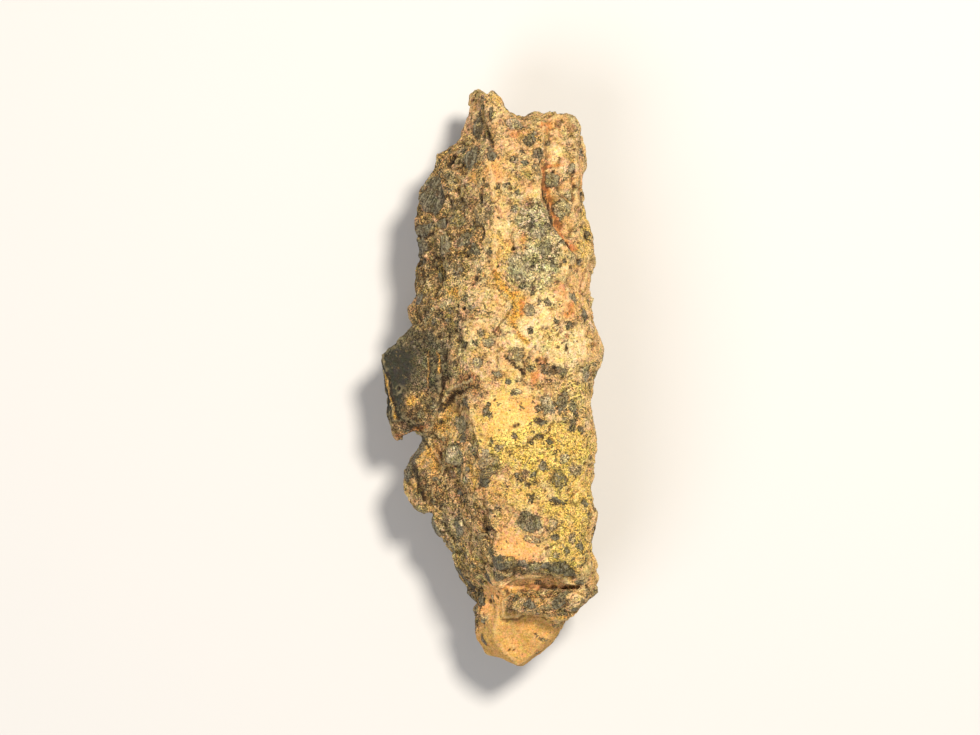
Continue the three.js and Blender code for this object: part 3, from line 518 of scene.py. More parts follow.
# ------------------------------------------------------------------ the stone's mesh

def merged_copy(source, name):
    """A copy of a CAD node's mesh with its loose triangles joined."""
    shell = bmesh.new()
    shell.from_mesh(source.data)
    bmesh.ops.remove_doubles(shell, verts=shell.verts, dist=0.001 * MM)
    mesh = bpy.data.meshes.new(name)
    shell.to_mesh(mesh)
    shell.free()
    return mesh


def remeshed(mesh, name, spacing):
    """The same shell as an even net of small faces."""
    rough = add_object(name + "_shell", mesh)
    remesh = rough.modifiers.new("Even net", "REMESH")
    remesh.mode = "VOXEL"
    remesh.voxel_size = spacing
    remesh.adaptivity = 0
    graph = bpy.context.evaluated_depsgraph_get()
    even = bpy.data.meshes.new_from_object(rough.evaluated_get(graph))
    bpy.data.objects.remove(rough)
    bpy.data.meshes.remove(mesh)
    even.name = name
    clear_specks(even)
    return even


def clear_specks(mesh):
    """Deletes the loose specks that an even net leaves in narrow places: one shell remains."""
    shell = bmesh.new()
    shell.from_mesh(mesh)
    left = set(shell.verts)
    pieces = []
    while left:
        piece = [left.pop()]
        for vert in piece:
            for edge in vert.link_edges:
                other = edge.other_vert(vert)
                if other in left:
                    left.remove(other)
                    piece.append(other)
        pieces.append(piece)
    pieces.sort(key=len)
    specks = [vert for piece in pieces[:-1] for vert in piece]
    bmesh.ops.delete(shell, geom=specks, context="VERTS")
    shell.to_mesh(mesh)
    shell.free()


class Surface:
    """The stone's points in millimetres, with what is worked out for each of them."""

    def __init__(self, mesh):
        self.mesh = mesh
        self.points = read_vectors(mesh.vertices, "co") / MM
        self.edges = np.empty(len(mesh.edges) * 2, dtype=np.int32)
        mesh.edges.foreach_get("vertices", self.edges)
        self.edges = self.edges.reshape(-1, 2)
        self.counts = np.bincount(self.edges.ravel(), minlength=len(self.points)).astype(float)
        self.normals = read_vectors(mesh.vertex_normals, "vector")
        self.broad_normals = self.normals

    def store(self):
        """Puts the points back into the mesh, and reads the normals they now have."""
        self.mesh.vertices.foreach_set("co", (self.points * MM).astype(np.float32).ravel())
        self.mesh.update()
        self.normals = read_vectors(self.mesh.vertex_normals, "vector")

    def soften_normals(self, passes):
        """Works out which way the surface faces when small forms are left out."""
        soft = relaxed(self.normals, self.edges, self.counts, passes)
        self.broad_normals = soft / np.maximum(np.linalg.norm(soft, axis=1, keepdims=True), 1e-9)

    def survey(self):
        """Works out, for each point: where it appears from the camera's height, on the level of
        the outline; how far it belongs to the upper side, from 1 to 0; two random waves, 1.6 and
        0.8 mm long, that make edges ragged; and how rough it is, less on the smoother breaks."""
        spread = (CAMERA_HEIGHT - OUTLINE_LEVEL) / (CAMERA_HEIGHT - self.points[:, 2])
        self.seen = CAMERA_OVER + (self.points[:, :2] - CAMERA_OVER) * spread[:, None]
        self.upper = smoothstep(-0.3, 0.05, self.broad_normals[:, 2])
        self.wander = drift(self.points, 1.6, WANDER_SEED)
        self.ragged = drift(self.points, 0.8, RAGGED_SEED)
        self.calm = np.ones(len(self.points))
        for x, y, width, length in CALM:
            reach = np.hypot(2 * (self.seen[:, 0] - x) / width, 2 * (self.seen[:, 1] - y) / length)
            smooth = 0.75 * self.upper * smoothstep(1.15, 0.85, reach)
            self.calm = np.minimum(self.calm, 1 - smooth)

    def wobbled(self, amount):
        """Where each point appears, shifted by the waves, so that what is drawn is ragged."""
        return self.seen + amount * np.column_stack((self.wander, self.ragged))

    def push(self, distance):
        """Moves each point outwards by its own distance."""
        self.points = self.points + self.broad_normals * distance[:, None]

    def seat(self, x, y):
        """The place and the outward direction of the point that appears at x, y. Of points that
        appear close together, the highest is taken: it hides the others."""
        flat = np.hypot(self.seen[:, 0] - x, self.seen[:, 1] - y)
        index = int(np.argmin(3.0 * flat - self.points[:, 2]))
        return self.points[index], self.broad_normals[index]


def tangents(up, turn):
    """Two directions in the surface: along the crystal, and across it."""
    north = np.array([0.0, 1.0, 0.0]) if abs(up[1]) < 0.9 else np.array([1.0, 0.0, 0.0])
    across = np.cross(north, up)
    across /= np.linalg.norm(across)
    along = np.cross(up, across)
    angle = math.radians(turn)
    return (along * math.cos(angle) - across * math.sin(angle),
            across * math.cos(angle) + along * math.sin(angle))


def scattered_crystals(surface, count, chance):
    """Places for large crystals on the flanks and the back, as on the upper side."""
    hidden = np.flatnonzero((surface.broad_normals[:, 2] < FLANK_LEAN)
                            & (surface.points[:, 2] > FLOOR_GAP))
    picks = chance.choice(hidden, count, replace=False)
    found = []
    for index in picks:
        width = chance.uniform(1.0, 2.4) * (1 + chance.random() ** 4)
        length = width * chance.uniform(1.0, 1.7)
        found.append((surface.points[index], surface.broad_normals[index], width, length,
                      chance.uniform(0, 180),
                      SCATTERED_KINDS[chance.integers(len(SCATTERED_KINDS))]))
    return found


def set_crystals(surface, settings, chance):
    """Flattens the face of each crystal, and notes how far inside one each point lies,
    its finish, and its place across the cleavage."""
    count = len(surface.points)
    depth = np.full(count, -1.0)
    tint = np.tile(finish_of(CRYSTAL_KINDS["slate"][0], 0.4), (count, 1))
    stripe = np.zeros((count, 4))
    placed = scattered_crystals(surface, settings.flank_crystals, chance)
    placed += [(*surface.seat(x, y), *rest) for x, y, *rest in CRYSTALS]
    shift = np.zeros(count)
    direction = np.zeros((count, 3))
    for place, up, width, length, turn, kind in placed:
        offset = surface.points - place
        near = np.flatnonzero((offset ** 2).sum(1) < (0.75 * max(width, length) + 0.6) ** 2)
        offset = offset[near]
        along, across = tangents(up, turn)
        u, v, w = offset @ along, offset @ across, offset @ up
        # How far inside its ragged many-sided outline each point lies.
        sides = int(chance.integers(5, 8))
        facing = (np.arange(sides) + chance.uniform(-0.3, 0.3, sides)) * math.tau / sides
        spans = np.outer(2 * u / length, np.cos(facing)) + np.outer(2 * v / width, np.sin(facing))
        reach = (spans / chance.uniform(0.8, 1.05, sides)).max(1)
        inside = ((1 - reach) * 0.5 * min(width, length) + 0.25 * surface.ragged[near]
                  + 0.15 * surface.wander[near])
        inside = np.where(np.abs(w) < CRYSTAL_REACH, inside, -1.0)
        inside = np.where(surface.normals[near] @ up > 0.1, inside, -1.0)
        # Its face, which leans a little and stands a little out or back, in millimetres.
        lean = chance.uniform(-0.16, 0.16, 2)
        face = chance.uniform(-0.08, 0.14) + lean[0] * u + lean[1] * v
        hex_colour, dark_share, cleavage = CRYSTAL_KINDS[kind]
        shade = chance.uniform(0.92, 1.25) * (1.3 if length < 2 else 1)
        wins = inside > depth[near]
        chosen = near[wins]
        depth[chosen] = inside[wins]
        tint[chosen] = finish_of(hex_colour, dark_share) * [shade, shade, shade, 1]
        slant = chance.uniform(-0.5, 0.5)
        stripe[chosen] = np.column_stack((v[wins] + slant * u[wins], np.full(wins.sum(), cleavage),
                                          u[wins], np.full(wins.sum(), chance.random())))
        strength = smoothstep(0.0, 0.35, inside[wins]) * 0.75
        shift[chosen] = np.clip((face - w)[wins], -MOST_SHIFT, MOST_SHIFT) * strength
        direction[chosen] = up
    surface.points = surface.points + direction * shift[:, None]
    return depth, tint, stripe


def line_gap(places, corners):
    """Distance of each place from a line through the corners."""
    best = np.full(len(places), 1e9)
    for (x0, y0), (x1, y1) in zip(corners, corners[1:]):
        run = np.array([x1 - x0, y1 - y0])
        share = np.clip(((places - [x0, y0]) @ run) / (run @ run), 0, 1)
        away = places - [x0, y0] - share[:, None] * run
        best = np.minimum(best, np.hypot(away[:, 0], away[:, 1]))
    return best


def inside_outline(places, corners):
    """How far each place lies inside a closed outline; below 0 outside it."""
    gap = line_gap(places, corners + corners[:1])
    within = np.zeros(len(places), dtype=bool)
    for (x0, y0), (x1, y1) in zip(corners, corners[1:] + corners[:1]):
        if y0 != y1:
            crosses = (y0 > places[:, 1]) != (y1 > places[:, 1])
            within ^= crosses & (places[:, 0] < x0 + (places[:, 1] - y0) * (x1 - x0) / (y1 - y0))
    return np.where(within, gap, -gap)


def finish_of(hex_colour, dark_share):
    """A colour, with the share of dark grains in place of its alpha."""
    return np.array(linear(hex_colour)[:3] + [dark_share])


def lay_matrix(surface):
    """Blends the finishes of the matrix, and cuts or raises the veins."""
    points, upper, ragged = surface.points, surface.upper, surface.ragged
    hex_colour, clast_share, dark_share = MATRIX["tan"]
    tint = np.tile(finish_of(hex_colour, dark_share), (len(points), 1))
    clasts = np.full(len(points), clast_share)

    def blend(finish, share):
        nonlocal tint, clasts
        hex_colour, clast_share, dark_share = MATRIX[finish]
        tint = tint + (finish_of(hex_colour, dark_share) - tint) * share[:, None]
        clasts = clasts + (clast_share - clasts) * share

    def lay_clouds(clouds, reach):
        for finish, size, seed, start, full, strength in clouds:
            blend(finish, strength * reach * smoothstep(start, full, drift(points, size, seed)))

    def lay_patches(stains):
        for x, y, width, length, turn, finish, strength in PATCHES:
            if (finish in STAINS) == stains:
                angle = math.radians(turn)
                dx, dy = surface.seen[:, 0] - x, surface.seen[:, 1] - y
                u = dy * math.cos(angle) - dx * math.sin(angle)
                v = dx * math.cos(angle) + dy * math.sin(angle)
                narrow = min(width, length)
                reach = np.hypot(2 * u / length, 2 * v / width)
                # The edge wavers by 0.8 and 0.45 mm, less round a small patch, and is soft
                # over a little more than 1 mm.
                edge = (reach + surface.wander * min(0.5, 1.6 / narrow)
                        + ragged * min(0.4, 0.9 / narrow))
                soft = min(0.9, 2.2 / narrow + 0.15)
                blend(finish, strength * upper * smoothstep(1 + soft / 2, 1 - soft / 2, edge))

    lay_clouds(BROAD_CLOUDS, 1 - 0.75 * upper)
    lay_patches(stains=False)
    # Small clouds over these, so that none lies flat except on the smoother breaks.
    lay_clouds(SMALL_CLOUDS, 1.2 * surface.calm - 0.2)
    lay_patches(stains=True)
    for finish, strength, width, corners in PLATES:
        within = inside_outline(surface.wobbled(0.4), corners)
        blend(finish, strength * upper * smoothstep(-width / 2, width / 2, within))
    for finish, width, lift, corners in VEINS:
        gap = line_gap(surface.wobbled(0.3), corners)
        blend(finish, upper * smoothstep(width * 0.8, width * 0.25, gap + 0.2 * width * ragged))
        surface.push(upper * lift * np.exp(-(gap / (0.45 * width + 0.15)) ** 2))
    return tint, clasts


def open_pores(surface, chance):
    """Small holes, some at set places and some scattered."""
    pores = [(surface.seat(x, y)[0], radius, depth) for x, y, radius, depth in PORES]
    for index in chance.choice(len(surface.points), SCATTERED_PORES, replace=False):
        pores.append((surface.points[index], chance.uniform(0.25, 0.65), chance.uniform(0.15, 0.5)))
    hollow = np.zeros(len(surface.points))
    for place, radius, depth in pores:
        gap = np.linalg.norm(surface.points - place, axis=1)
        hollow = np.maximum(hollow, depth * np.exp(-(gap / radius) ** 2.5))
    surface.push(-hollow)
    return hollow


def carve(surface, settings):
    """All of the stone's relief, and the attributes that its material reads."""
    chance = np.random.default_rng(SEED)
    surface.points = softened(surface.points, surface.edges, surface.counts, settings.smoothing)
    surface.store()
    surface.soften_normals(10)
    surface.survey()
    start = surface.points.copy()
    wander, ragged, calm = surface.wander, surface.ragged, surface.calm

    # Facets of the break, with a crease round each, and softer lumps over them. The flanks are
    # rougher than the top.
    bent = start + 0.5 * np.column_stack((wander, ragged, -wander))
    facet, gap = cells(bent, settings.break_size / MM, FACET_SEED)
    lumps = drift(start, settings.lump_size / MM, LUMP_SEED)
    lumps += 0.6 * drift(start, 0.5 * settings.lump_size / MM, SMALL_LUMP_SEED)
    shape = settings.break_depth / MM * (facet - CREASE_DEPTH * np.exp(-gap / CREASE_WIDTH))
    shape += settings.lump_depth / MM * lumps
    top = smoothstep(0.55, 0.9, surface.broad_normals[:, 2])
    rougher = FLANK_ROUGHNESS - (FLANK_ROUGHNESS - 1) * top
    surface.push(shape * calm * rougher)
    for x, y, size, across, along in NUDGES:
        near = np.exp(-((surface.seen[:, 0] - x) ** 2 + (surface.seen[:, 1] - y) ** 2) / size ** 2)
        surface.points[:, :2] += near[:, None] * [across, along]
    for lift, width, corners in STEPS:
        within = inside_outline(surface.wobbled(0.2), corners)
        surface.points[:, 2] += lift * surface.upper * smoothstep(-width / 2, width / 2, within)

    tint, clasts = lay_matrix(surface)
    pores = open_pores(surface, chance)
    surface.store()
    surface.soften_normals(6)
    depth, crystal_tint, stripe = set_crystals(surface, settings, chance)

    # Coarser grains of the matrix, between the crystals.
    bent = start + 0.25 * np.column_stack((ragged, wander, -ragged))
    lift, gap = cells(bent, settings.grain_size / MM, GRAIN_SEED)
    grain = settings.grain_depth / MM
    relief = grain * (lift - GROOVE_DEPTH * np.exp(-gap / GROOVE_WIDTH)) + 0.6 * grain * ragged
    free = smoothstep(0.15, -0.2, depth)
    relief = relief * (0.25 + 0.75 * free) * calm
    surface.points = surface.points + surface.normals * relief[:, None]

    share = smoothstep(0, FLAT_EDGE, start[:, 2])
    surface.points = start + (surface.points - start) * share[:, None]
    surface.points[:, 2] = np.maximum(surface.points[:, 2], 0)
    surface.store()

    # How far each point stands out from its near and from its wider surroundings.
    close_relief, broad_relief = (
        ((surface.points - relaxed(surface.points, surface.edges, surface.counts, passes))
         * surface.normals).sum(1) for passes in (3, 30))
    for name, kind, values in (
            ("matrix_finish", "FLOAT_COLOR", tint), ("crystal_finish", "FLOAT_COLOR", crystal_tint),
            ("crystal_depth", "FLOAT", depth), ("cleavage", "FLOAT_COLOR", stripe),
            ("calm", "FLOAT", calm), ("relief", "FLOAT_COLOR", np.column_stack(
                (close_relief, broad_relief, pores, clasts)))):
        write_attribute(surface.mesh, name, kind, values)


# ------------------------------------------------------------------ the stone's material

def weathered_diogenite():
    """Breccia of orthopyroxene: a matt, crumbly matrix stained tan, yellow and rust by desert
    weathering, with harder crystals whose cleavage faces catch a little light."""
    material = bpy.data.materials.new("weathered_diogenite_breccia")
    material.use_nodes = True
    material.node_tree.nodes.clear()
    add = partial(node, material.node_tree)

    # Millimetres. Upright distances count for a little less, so that grains on the steep flanks
    # are as wide, seen from above, as those on top.
    mm = add("Mapping", {"Vector": add("TexCoord")["Object"],
                         "Scale": (1 / MM, 1 / MM, 0.65 / MM)})[0]

    matrix, crystal, depth, cleavage, relief, calm = (
        add("Attribute", attribute_name=name) for name in
        ("matrix_finish", "crystal_finish", "crystal_depth", "cleavage", "relief", "calm"))
    across, stripe_share, along = add("SeparateColor", {0: cleavage["Color"]})
    close_relief, broad_relief, pores = add("SeparateColor", {0: relief["Color"]})

    # Cloudy patterns: size in millimetres, detail and roughness. Crumbs, grit and dust are the
    # rock's own grains; dust is drawn at 0.26 mm although it is finer, because it would not show.
    # The others are matrix stuck to the crystals, places where dark grains crowd, and stain.
    crumb, grit, dust, stuck, crowd, stain = (
        add("TexNoise", {"Vector": mm, "Scale": 1 / size, "Detail": detail, "Roughness": rough})
        for size, detail, rough in ((0.62, 3, 0.72), (0.34, 2, 0.65), (0.26, 2, 0.8),
                                    (1.2, 3, 0.65), (2.3, 2, 0.6), (2.2, 3, 0.6)))

    # Grains of 0.34 and 0.75 mm and clasts of 1.4 mm, all ragged, each with random numbers.
    warp = add("VectorMath", {0: crumb["Color"], 1: (0.7, 0.7, 0.7), 2: mm},
               operation="MULTIPLY_ADD")[0]
    small, large, clasts = (add("TexVoronoi", {"Vector": warp, "Scale": 1 / size})
                            for size in (0.34, 0.75, 1.4))
    small_pick, large_pick, clast_pick = (add("SeparateColor", {0: grain["Color"]})
                                          for grain in (small, large, clasts))

    # Some of the clasts show, drawn with the grains of the rock they are pieces of.
    chosen = add("Math", {0: clast_pick[0], 1: relief["Alpha"]}, operation="LESS_THAN")[0]
    ragged = add("Math", {0: grit["Fac"], 1: 1.2, 2: clasts["Distance"]},
                 operation="MULTIPLY_ADD")[0]
    clast = add("MapRange", {"Value": ragged, "From Min": 1.12, "From Max": 0.98,
                             "To Max": 0.85})[0]
    clast = add("Math", {0: clast, 1: chosen}, operation="MULTIPLY")[0]
    clast_tone = add("Mix", {0: clast_pick[1], C1: linear("#4d4b3e"), C2: linear("#a39a7c")},
                     data_type="RGBA")[COLOUR]

    # The large crystals, with ragged rims, and crumbs of matrix stuck to them.
    rim = add("Math", {0: crumb["Fac"], 1: 1.5, 2: depth["Fac"]}, operation="MULTIPLY_ADD")[0]
    inside = add("MapRange", {"Value": rim, "From Min": 0.70, "From Max": 0.80})[0]
    bare = add("MapRange", {"Value": stuck["Fac"], "From Min": 0.66, "From Max": 0.58,
                            "To Min": 0.5})[0]
    crystal_here = add("Math", {0: inside, 1: bare}, operation="MULTIPLY")[0]

    base = add("Mix", {0: clast, C1: matrix["Color"], C2: clast_tone}, data_type="RGBA")[COLOUR]
    stained = add("Mix", {0: 0.15, C1: crystal["Color"], C2: matrix["Color"]},
                  data_type="RGBA")[COLOUR]
    base = add("Mix", {0: crystal_here, C1: base, C2: stained}, data_type="RGBA")[COLOUR]
    dark_share = add("Mix", {0: clast, N1: matrix["Alpha"], N2: 0.45})[NUMBER]
    dark_share = add("Mix", {0: crystal_here, N1: dark_share, N2: crystal["Alpha"]})[NUMBER]

    # Smooth rock is even in tone and relief, and mixed rock is not.
    unevenness = add("MapRange", {"Value": dark_share, "From Min": 0.02, "From Max": 0.45,
                                  "To Min": 0.55, "To Max": 3.8})[0]

    # Cleavage: fine ribs across a crystal, and facets a millimetre wide, each made lighter or
    # darker as painted sheen.
    along_rib = add("Math", {0: along, 1: 0.14}, operation="MULTIPLY")[0]
    rib_place = add("CombineXYZ", {0: across, 1: along_rib, 2: cleavage["Alpha"]})[0]
    ribs = add("TexNoise", {"Vector": rib_place, "Scale": 2.6, "Detail": 3,
                            "Roughness": 0.75})["Fac"]
    striped = add("Math", {0: crystal_here, 1: stripe_share}, operation="MULTIPLY")[0]
    across_facet = add("Math", {0: across, 1: 0.8, 2: cleavage["Alpha"]},
                       operation="MULTIPLY_ADD")[0]
    along_facet = add("Math", {0: along, 1: 0.45}, operation="MULTIPLY")[0]
    waver = add("Math", {0: crumb["Fac"], 1: 0.9}, operation="MULTIPLY")[0]
    facet_place = add("CombineXYZ", {0: across_facet, 1: along_facet, 2: waver})[0]
    facets = add("TexVoronoi", {"Vector": facet_place, "Scale": 1})["Color"]
    facet_sheen = add("MapRange", {"Value": add("SeparateColor", {0: facets})[0],
                                  "To Min": 0.66, "To Max": 1.34})[0]
    facet_sheen = add("Mix", {0: crystal_here, N1: 1, N2: facet_sheen})[NUMBER]

    # Dark grains gather in some places and are rare in others.
    crowded = add("MapRange", {"Value": crowd["Fac"], "From Min": 0.38, "From Max": 0.64,
                               "To Min": 0.25, "To Max": 1.75})[0]
    dark_near = add("Math", {0: dark_share, 1: crowded}, operation="MULTIPLY")[0]
    small_size = add("Math", {0: small_pick[1], 1: -0.3, 2: small["Distance"]},
                     operation="MULTIPLY_ADD")[0]
    small_size = add("MapRange", {"Value": small_size, "From Min": 0.45, "From Max": 0.28})[0]
    small_dark = add("Math", {0: small_pick[0], 1: dark_near}, operation="LESS_THAN")[0]
    small_dark = add("Math", {0: small_dark, 1: small_size}, operation="MULTIPLY")[0]
    large_size = add("Math", {0: grit["Fac"], 1: 0.9, 2: large["Distance"]},
                     operation="MULTIPLY_ADD")[0]
    large_size = add("MapRange", {"Value": large_size, "From Min": 0.90, "From Max": 0.78})[0]
    large_near = add("Math", {0: dark_near, 1: 0.35}, operation="MULTIPLY")[0]
    large_dark = add("Math", {0: large_pick[0], 1: large_near}, operation="LESS_THAN")[0]
    large_dark = add("Math", {0: large_dark, 1: large_size}, operation="MULTIPLY")[0]
    dark = add("Math", {0: small_dark, 1: large_dark}, operation="MAXIMUM")[0]
    ribbed = add("MapRange", {"Value": ribs, "From Min": 0.48, "From Max": 0.43,
                              "To Max": 0.9})[0]
    rib_share = add("Math", {0: striped, 1: 0.85}, operation="MULTIPLY")[0]
    dark = add("Mix", {0: rib_share, N1: dark, N2: ribbed})[NUMBER]
    dark_tone = add("Mix", {0: small_pick[1], C1: linear("#302a1e"), C2: linear("#7d6a44")},
                    data_type="RGBA")[COLOUR]
    rusty = add("MapRange", {"Value": stain["Fac"], "From Min": 0.5, "From Max": 0.7,
                             "To Max": 0.6})[0]
    dark_tone = add("Mix", {0: rusty, C1: dark_tone, C2: linear("#6f4a24")},
                    data_type="RGBA")[COLOUR]

    # Paler flecks where the rock is mixed, partly pale grains and partly painted glints, and paler
    # ribs along the cleavage, partly pale streaks and partly painted sheen.
    fleck_and_glint = add("Math", {0: small_pick[0], 1: 0.85}, operation="GREATER_THAN")[0]
    fleck_share = add("MapRange", {"Value": dark_share, "From Min": 0.03, "From Max": 0.30,
                                   "To Max": 0.9})[0]
    fleck_and_glint = add("Math", {0: fleck_and_glint, 1: fleck_share}, operation="MULTIPLY")[0]
    pale_rib_and_sheen = add("MapRange", {"Value": ribs, "From Min": 0.52, "From Max": 0.60,
                                "To Max": 0.95})[0]
    pale_rib_and_sheen = add("Math", {0: pale_rib_and_sheen, 1: striped}, operation="MULTIPLY")[0]
    pale = add("Math", {0: fleck_and_glint, 1: pale_rib_and_sheen}, operation="MAXIMUM")[0]
    pale_share = add("Mix", {0: crystal_here, N1: 1, N2: 0.75})[NUMBER]
    pale = add("Math", {0: pale, 1: pale_share}, operation="MULTIPLY")[0]

    # Hues: a wandering one, and one for each small and each large grain.
    hue = add("MapRange", {"Value": stain["Fac"], "From Min": 0.34, "From Max": 0.66})[0]
    hue = add("Mix", {0: hue, C1: (0.97, 0.99, 0.98, 1), C2: (1.05, 0.98, 0.84, 1)},
              data_type="RGBA")[COLOUR]
    grain_hue = add("VectorMath", {0: small["Color"], 1: (0.14, 0.18, 0.34),
                                   2: (0.93, 0.90, 0.72)}, operation="MULTIPLY_ADD")[0]
    grain_hue = add("Mix", {0: crystal_here, V1: grain_hue, V2: (1, 0.98, 0.90)},
                    data_type="VECTOR")[VECTOR]
    lump_hue = add("VectorMath", {0: large["Color"], 1: (0.10, 0.18, 0.34),
                                  2: (0.96, 0.91, 0.79)}, operation="MULTIPLY_ADD")[0]

    # Tone: the grains' own, grit and dust, all about 1, and never black.
    tone = -2.26
    for source, weight in ((large_pick[2], 0.14), (small_pick[2], 0.38), (dust["Fac"], 3.4),
                           (grit["Fac"], 0.6)):
        tone = add("Math", {0: source, 1: weight, 2: tone}, operation="MULTIPLY_ADD")[0]
    tone = add("Math", {0: tone, 1: unevenness, 2: 1.02}, operation="MULTIPLY_ADD")[0]
    tone = add("Math", {0: tone, 1: 0.15}, operation="MAXIMUM")[0]
    # The painted sheen of the cleavage facets makes the tone lighter or darker on crystals.
    tone = add("Math", {0: tone, 1: facet_sheen}, operation="MULTIPLY")[0]

    colour = add("Mix", {0: 0.85, C1: base, C2: hue}, data_type="RGBA",
                 blend_type="MULTIPLY")[COLOUR]
    for own_hue in (grain_hue, lump_hue):
        colour = add("VectorMath", {0: colour, 1: own_hue}, operation="MULTIPLY")[0]
    colour = add("VectorMath", {0: colour, "Scale": tone}, operation="SCALE")[0]
    # The colour of the flecks and ribs, painted glints and sheen included: brighter matrix, or a
    # pale grey on a crystal.
    pale_tone = add("VectorMath", {0: colour, "Scale": 1.6}, operation="SCALE")[0]
    pale_tone = add("Mix", {0: crystal_here, C1: pale_tone, C2: linear("#b4aa88")},
                    data_type="RGBA")[COLOUR]
    dark_cover = add("Math", {0: dark, 1: 0.88}, operation="MULTIPLY")[0]

    # Painted shade: a dark line round each crystal, like the shadow in the crevice at its rim,
    # broken up in places.
    rim_shade = add("Math", {0: rim, 1: 0.70, 2: 0.13}, operation="COMPARE")[0]
    broken = add("MapRange", {"Value": grit["Fac"], "From Min": 0.44, "From Max": 0.62,
                              "To Max": 0.6})[0]
    rim_shade = add("Math", {0: rim_shade, 1: broken}, operation="MULTIPLY")[0]
    for share, laid in ((pale, pale_tone), (dark_cover, dark_tone), (rim_shade, linear("#3a2a1a"))):
        colour = add("Mix", {0: share, C1: colour, C2: laid}, data_type="RGBA")[COLOUR]

    # Colour read from the relief: small hollows turn dark brown, partly as dirt and partly as
    # painted shade;
    # broad hollows turn rust brown, partly as rust and partly as painted shade; edges that stand
    # out turn pale, partly rubbed and partly as painted highlight; and pores turn near black, as
    # painted shade inside them. Each row gives what is read, where it starts and is full, its
    # strength on matrix and on crystal, and its colour.
    for source, start, full, on_matrix, on_crystal, laid in (
            (close_relief, -0.015, -0.09, 0.65, 0.3, "#4b341f"),
            (broad_relief, -0.2, -1, 0.3, 0.3, "#8a6034"),
            (close_relief, 0.015, 0.09, 0.35, 0.08, "#f6dca0"),
            (pores, 0.2, 0.42, 0.85, 0.85, "#17130e")):
        strength = add("Mix", {0: crystal_here, N1: on_matrix, N2: on_crystal})[NUMBER]
        share = add("MapRange", {"Value": source, "From Min": start, "From Max": full,
                                 "To Max": strength})[0]
        colour = add("Mix", {0: share, C1: colour, C2: linear(laid)}, data_type="RGBA")[COLOUR]

    # Height in millimetres: grains with creases between them, and the ribs of the cleavage.
    height = 0
    for source, rise in ((large["Distance"], -0.06), (small["Distance"], -0.10),
                         (crumb["Fac"], 0.50), (grit["Fac"], 0.34), (dust["Fac"], 0.32),
                         (dark, -0.05)):
        height = add("Math", {0: source, 1: rise, 2: height}, operation="MULTIPLY_ADD")[0]
    flat_face = add("Mix", {0: crystal_here, N1: 1, N2: 0.6})[NUMBER]
    height = add("Math", {0: height, 1: flat_face}, operation="MULTIPLY")[0]
    rib_height = add("Math", {0: ribs, 1: 0.5}, operation="MULTIPLY")[0]
    height = add("Math", {0: rib_height, 1: striped, 2: height}, operation="MULTIPLY_ADD")[0]
    rough_rock = add("MapRange", {"Value": calm["Fac"], "From Min": 0.2, "To Min": 0.5})[0]
    rough_rock = add("Math", {0: rough_rock, 1: unevenness}, operation="MULTIPLY")[0]
    height = add("Math", {0: height, 1: rough_rock}, operation="MULTIPLY")[0]
    bump = add("Bump", {"Distance": 1 * MM, "Height": height, "Strength": 1})[0]

    # Matrix is matt, and the ribs of a crystal catch a little light.
    gloss = add("MapRange", {"Value": ribs, "From Min": 0.45, "From Max": 0.65,
                             "To Min": 0.55, "To Max": 0.38})[0]
    roughness = add("Mix", {0: crystal_here, N1: 0.93, N2: gloss})[NUMBER]
    shader = add("BsdfPrincipled", {"IOR": 1.66, "Specular IOR Level": 0.25,
                                    "Base Color": colour, "Roughness": roughness,
                                    "Normal": bump})[0]
    add("OutputMaterial", {"Surface": shader})
    return material


class METEORITE_OT_stone(bpy.types.Operator):
    """Makes the stone's finished surface around its solid"""

    bl_idname = "meteorite.stone"
    bl_label = "Stone"

    def execute(self, context):
        settings = context.scene.meteorite_stone
        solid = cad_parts["meteorite"]
        mesh = remeshed(merged_copy(solid, "stone"), "stone", settings.mesh_grain)
        carve(Surface(mesh), settings)
        for face in mesh.polygons:
            face.use_smooth = True
        mesh.materials.append(weathered_diogenite())
        stone = add_object("stone", mesh)
        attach(stone, "root")
        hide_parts("meteorite")
        return {"FINISHED"}


# ------------------------------------------------------------------ the stage

def matt_paper(colour):
    """Seamless paper: smooth, matt and pale."""
    material = bpy.data.materials.new("matt_paper_floor")
    material.use_nodes = True
    shader = material.node_tree.nodes["Principled BSDF"]
    shader.inputs["Base Color"].default_value = colour
    shader.inputs["Roughness"].default_value = 0.9
    shader.inputs["Specular IOR Level"].default_value = 0.2
    return material


def soft_light(name, power, place, width, colour):
    """A round light of some width, aimed at the stone."""
    lamp = bpy.data.lights.new(name, "AREA")
    lamp.shape = "DISK"
    lamp.size = width
    lamp.energy = power
    lamp.color = linear(colour)[:3]
    light = bpy.data.objects.new(name, lamp)
    light.location = place
    aim = Vector(LIGHT_AIM) - Vector(place)
    light.rotation_euler = aim.to_track_quat("-Z", "Y").to_euler()
    bpy.context.scene.collection.objects.link(light)


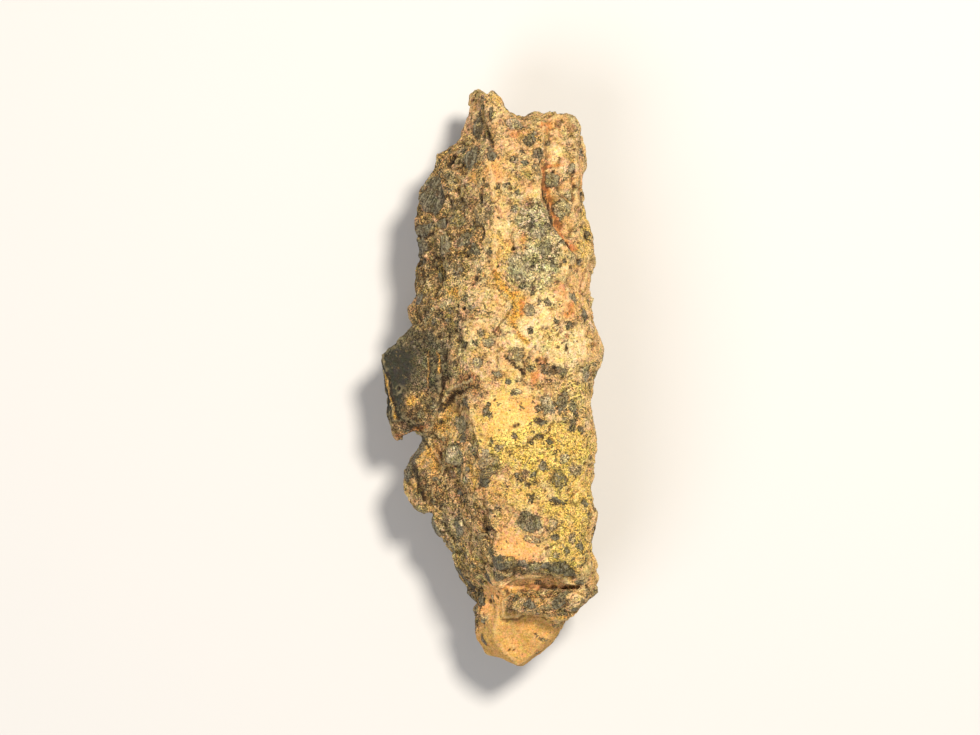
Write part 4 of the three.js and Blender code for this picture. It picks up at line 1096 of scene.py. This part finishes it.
class METEORITE_OT_stage(bpy.types.Operator):
    """Lays the pale floor, hangs the soft lights and sets the camera over the stone"""

    bl_idname = "meteorite.stage"
    bl_label = "Floor, lights and camera"

    def execute(self, context):
        scene = context.scene
        settings = scene.meteorite_stage
        ground = bmesh.new()
        bmesh.ops.create_grid(ground, x_segments=1, y_segments=1, size=settings.floor_size / 2)
        mesh = bpy.data.meshes.new("floor")
        ground.to_mesh(mesh)
        ground.free()
        mesh.materials.append(matt_paper(settings.floor_colour))
        add_object("floor", mesh)

        soft_light("key_light", settings.key_power, *KEY_LIGHT)
        soft_light("fill_light", settings.fill_power, *FILL_LIGHT)
        world = bpy.data.worlds.new("room")
        world.use_nodes = True
        room = world.node_tree.nodes["Background"].inputs
        room["Color"].default_value = linear("#f4f3f1")
        room["Strength"].default_value = settings.room_light
        scene.world = world
        scene.view_settings.view_transform = "Standard"

        lens = bpy.data.cameras.new("camera")
        lens.sensor_fit = "HORIZONTAL"
        lens.sensor_width = SENSOR_WIDTH
        distance = settings.camera_height - OUTLINE_LEVEL * MM
        lens.lens = SENSOR_WIDTH * distance / settings.view_width
        lens.clip_start = 0.01
        camera = bpy.data.objects.new("camera", lens)
        camera.location = (CAMERA_OVER[0] * MM, CAMERA_OVER[1] * MM, settings.camera_height)
        scene.collection.objects.link(camera)
        scene.camera = camera
        return {"FINISHED"}


class METEORITE_PT_panel(bpy.types.Panel):
    """Lists the stone's settings and the steps that make it"""

    bl_idname = "METEORITE_PT_panel"
    bl_label = "Diogenite meteorite"
    bl_space_type = "VIEW_3D"
    bl_region_type = "UI"
    bl_category = "Meteorite"

    def draw(self, context):
        for operator, settings in ((METEORITE_OT_stone, context.scene.meteorite_stone),
                                   (METEORITE_OT_stage, context.scene.meteorite_stage)):
            box = self.layout.box()
            for name in settings.__annotations__:
                box.prop(settings, name)
            box.operator(operator.bl_idname)


CLASSES = (StoneSettings, StageSettings, METEORITE_OT_stone, METEORITE_OT_stage, METEORITE_PT_panel)


def register():
    for item in CLASSES:
        bpy.utils.register_class(item)
    bpy.types.Scene.meteorite_stone = PointerProperty(type=StoneSettings)
    bpy.types.Scene.meteorite_stage = PointerProperty(type=StageSettings)


def unregister():
    del bpy.types.Scene.meteorite_stone
    del bpy.types.Scene.meteorite_stage
    for item in reversed(CLASSES):
        bpy.utils.unregister_class(item)


def main():
    register()
    bpy.ops.meteorite.stone()
    bpy.ops.meteorite.stage()


if __name__ == "__main__":
    main()
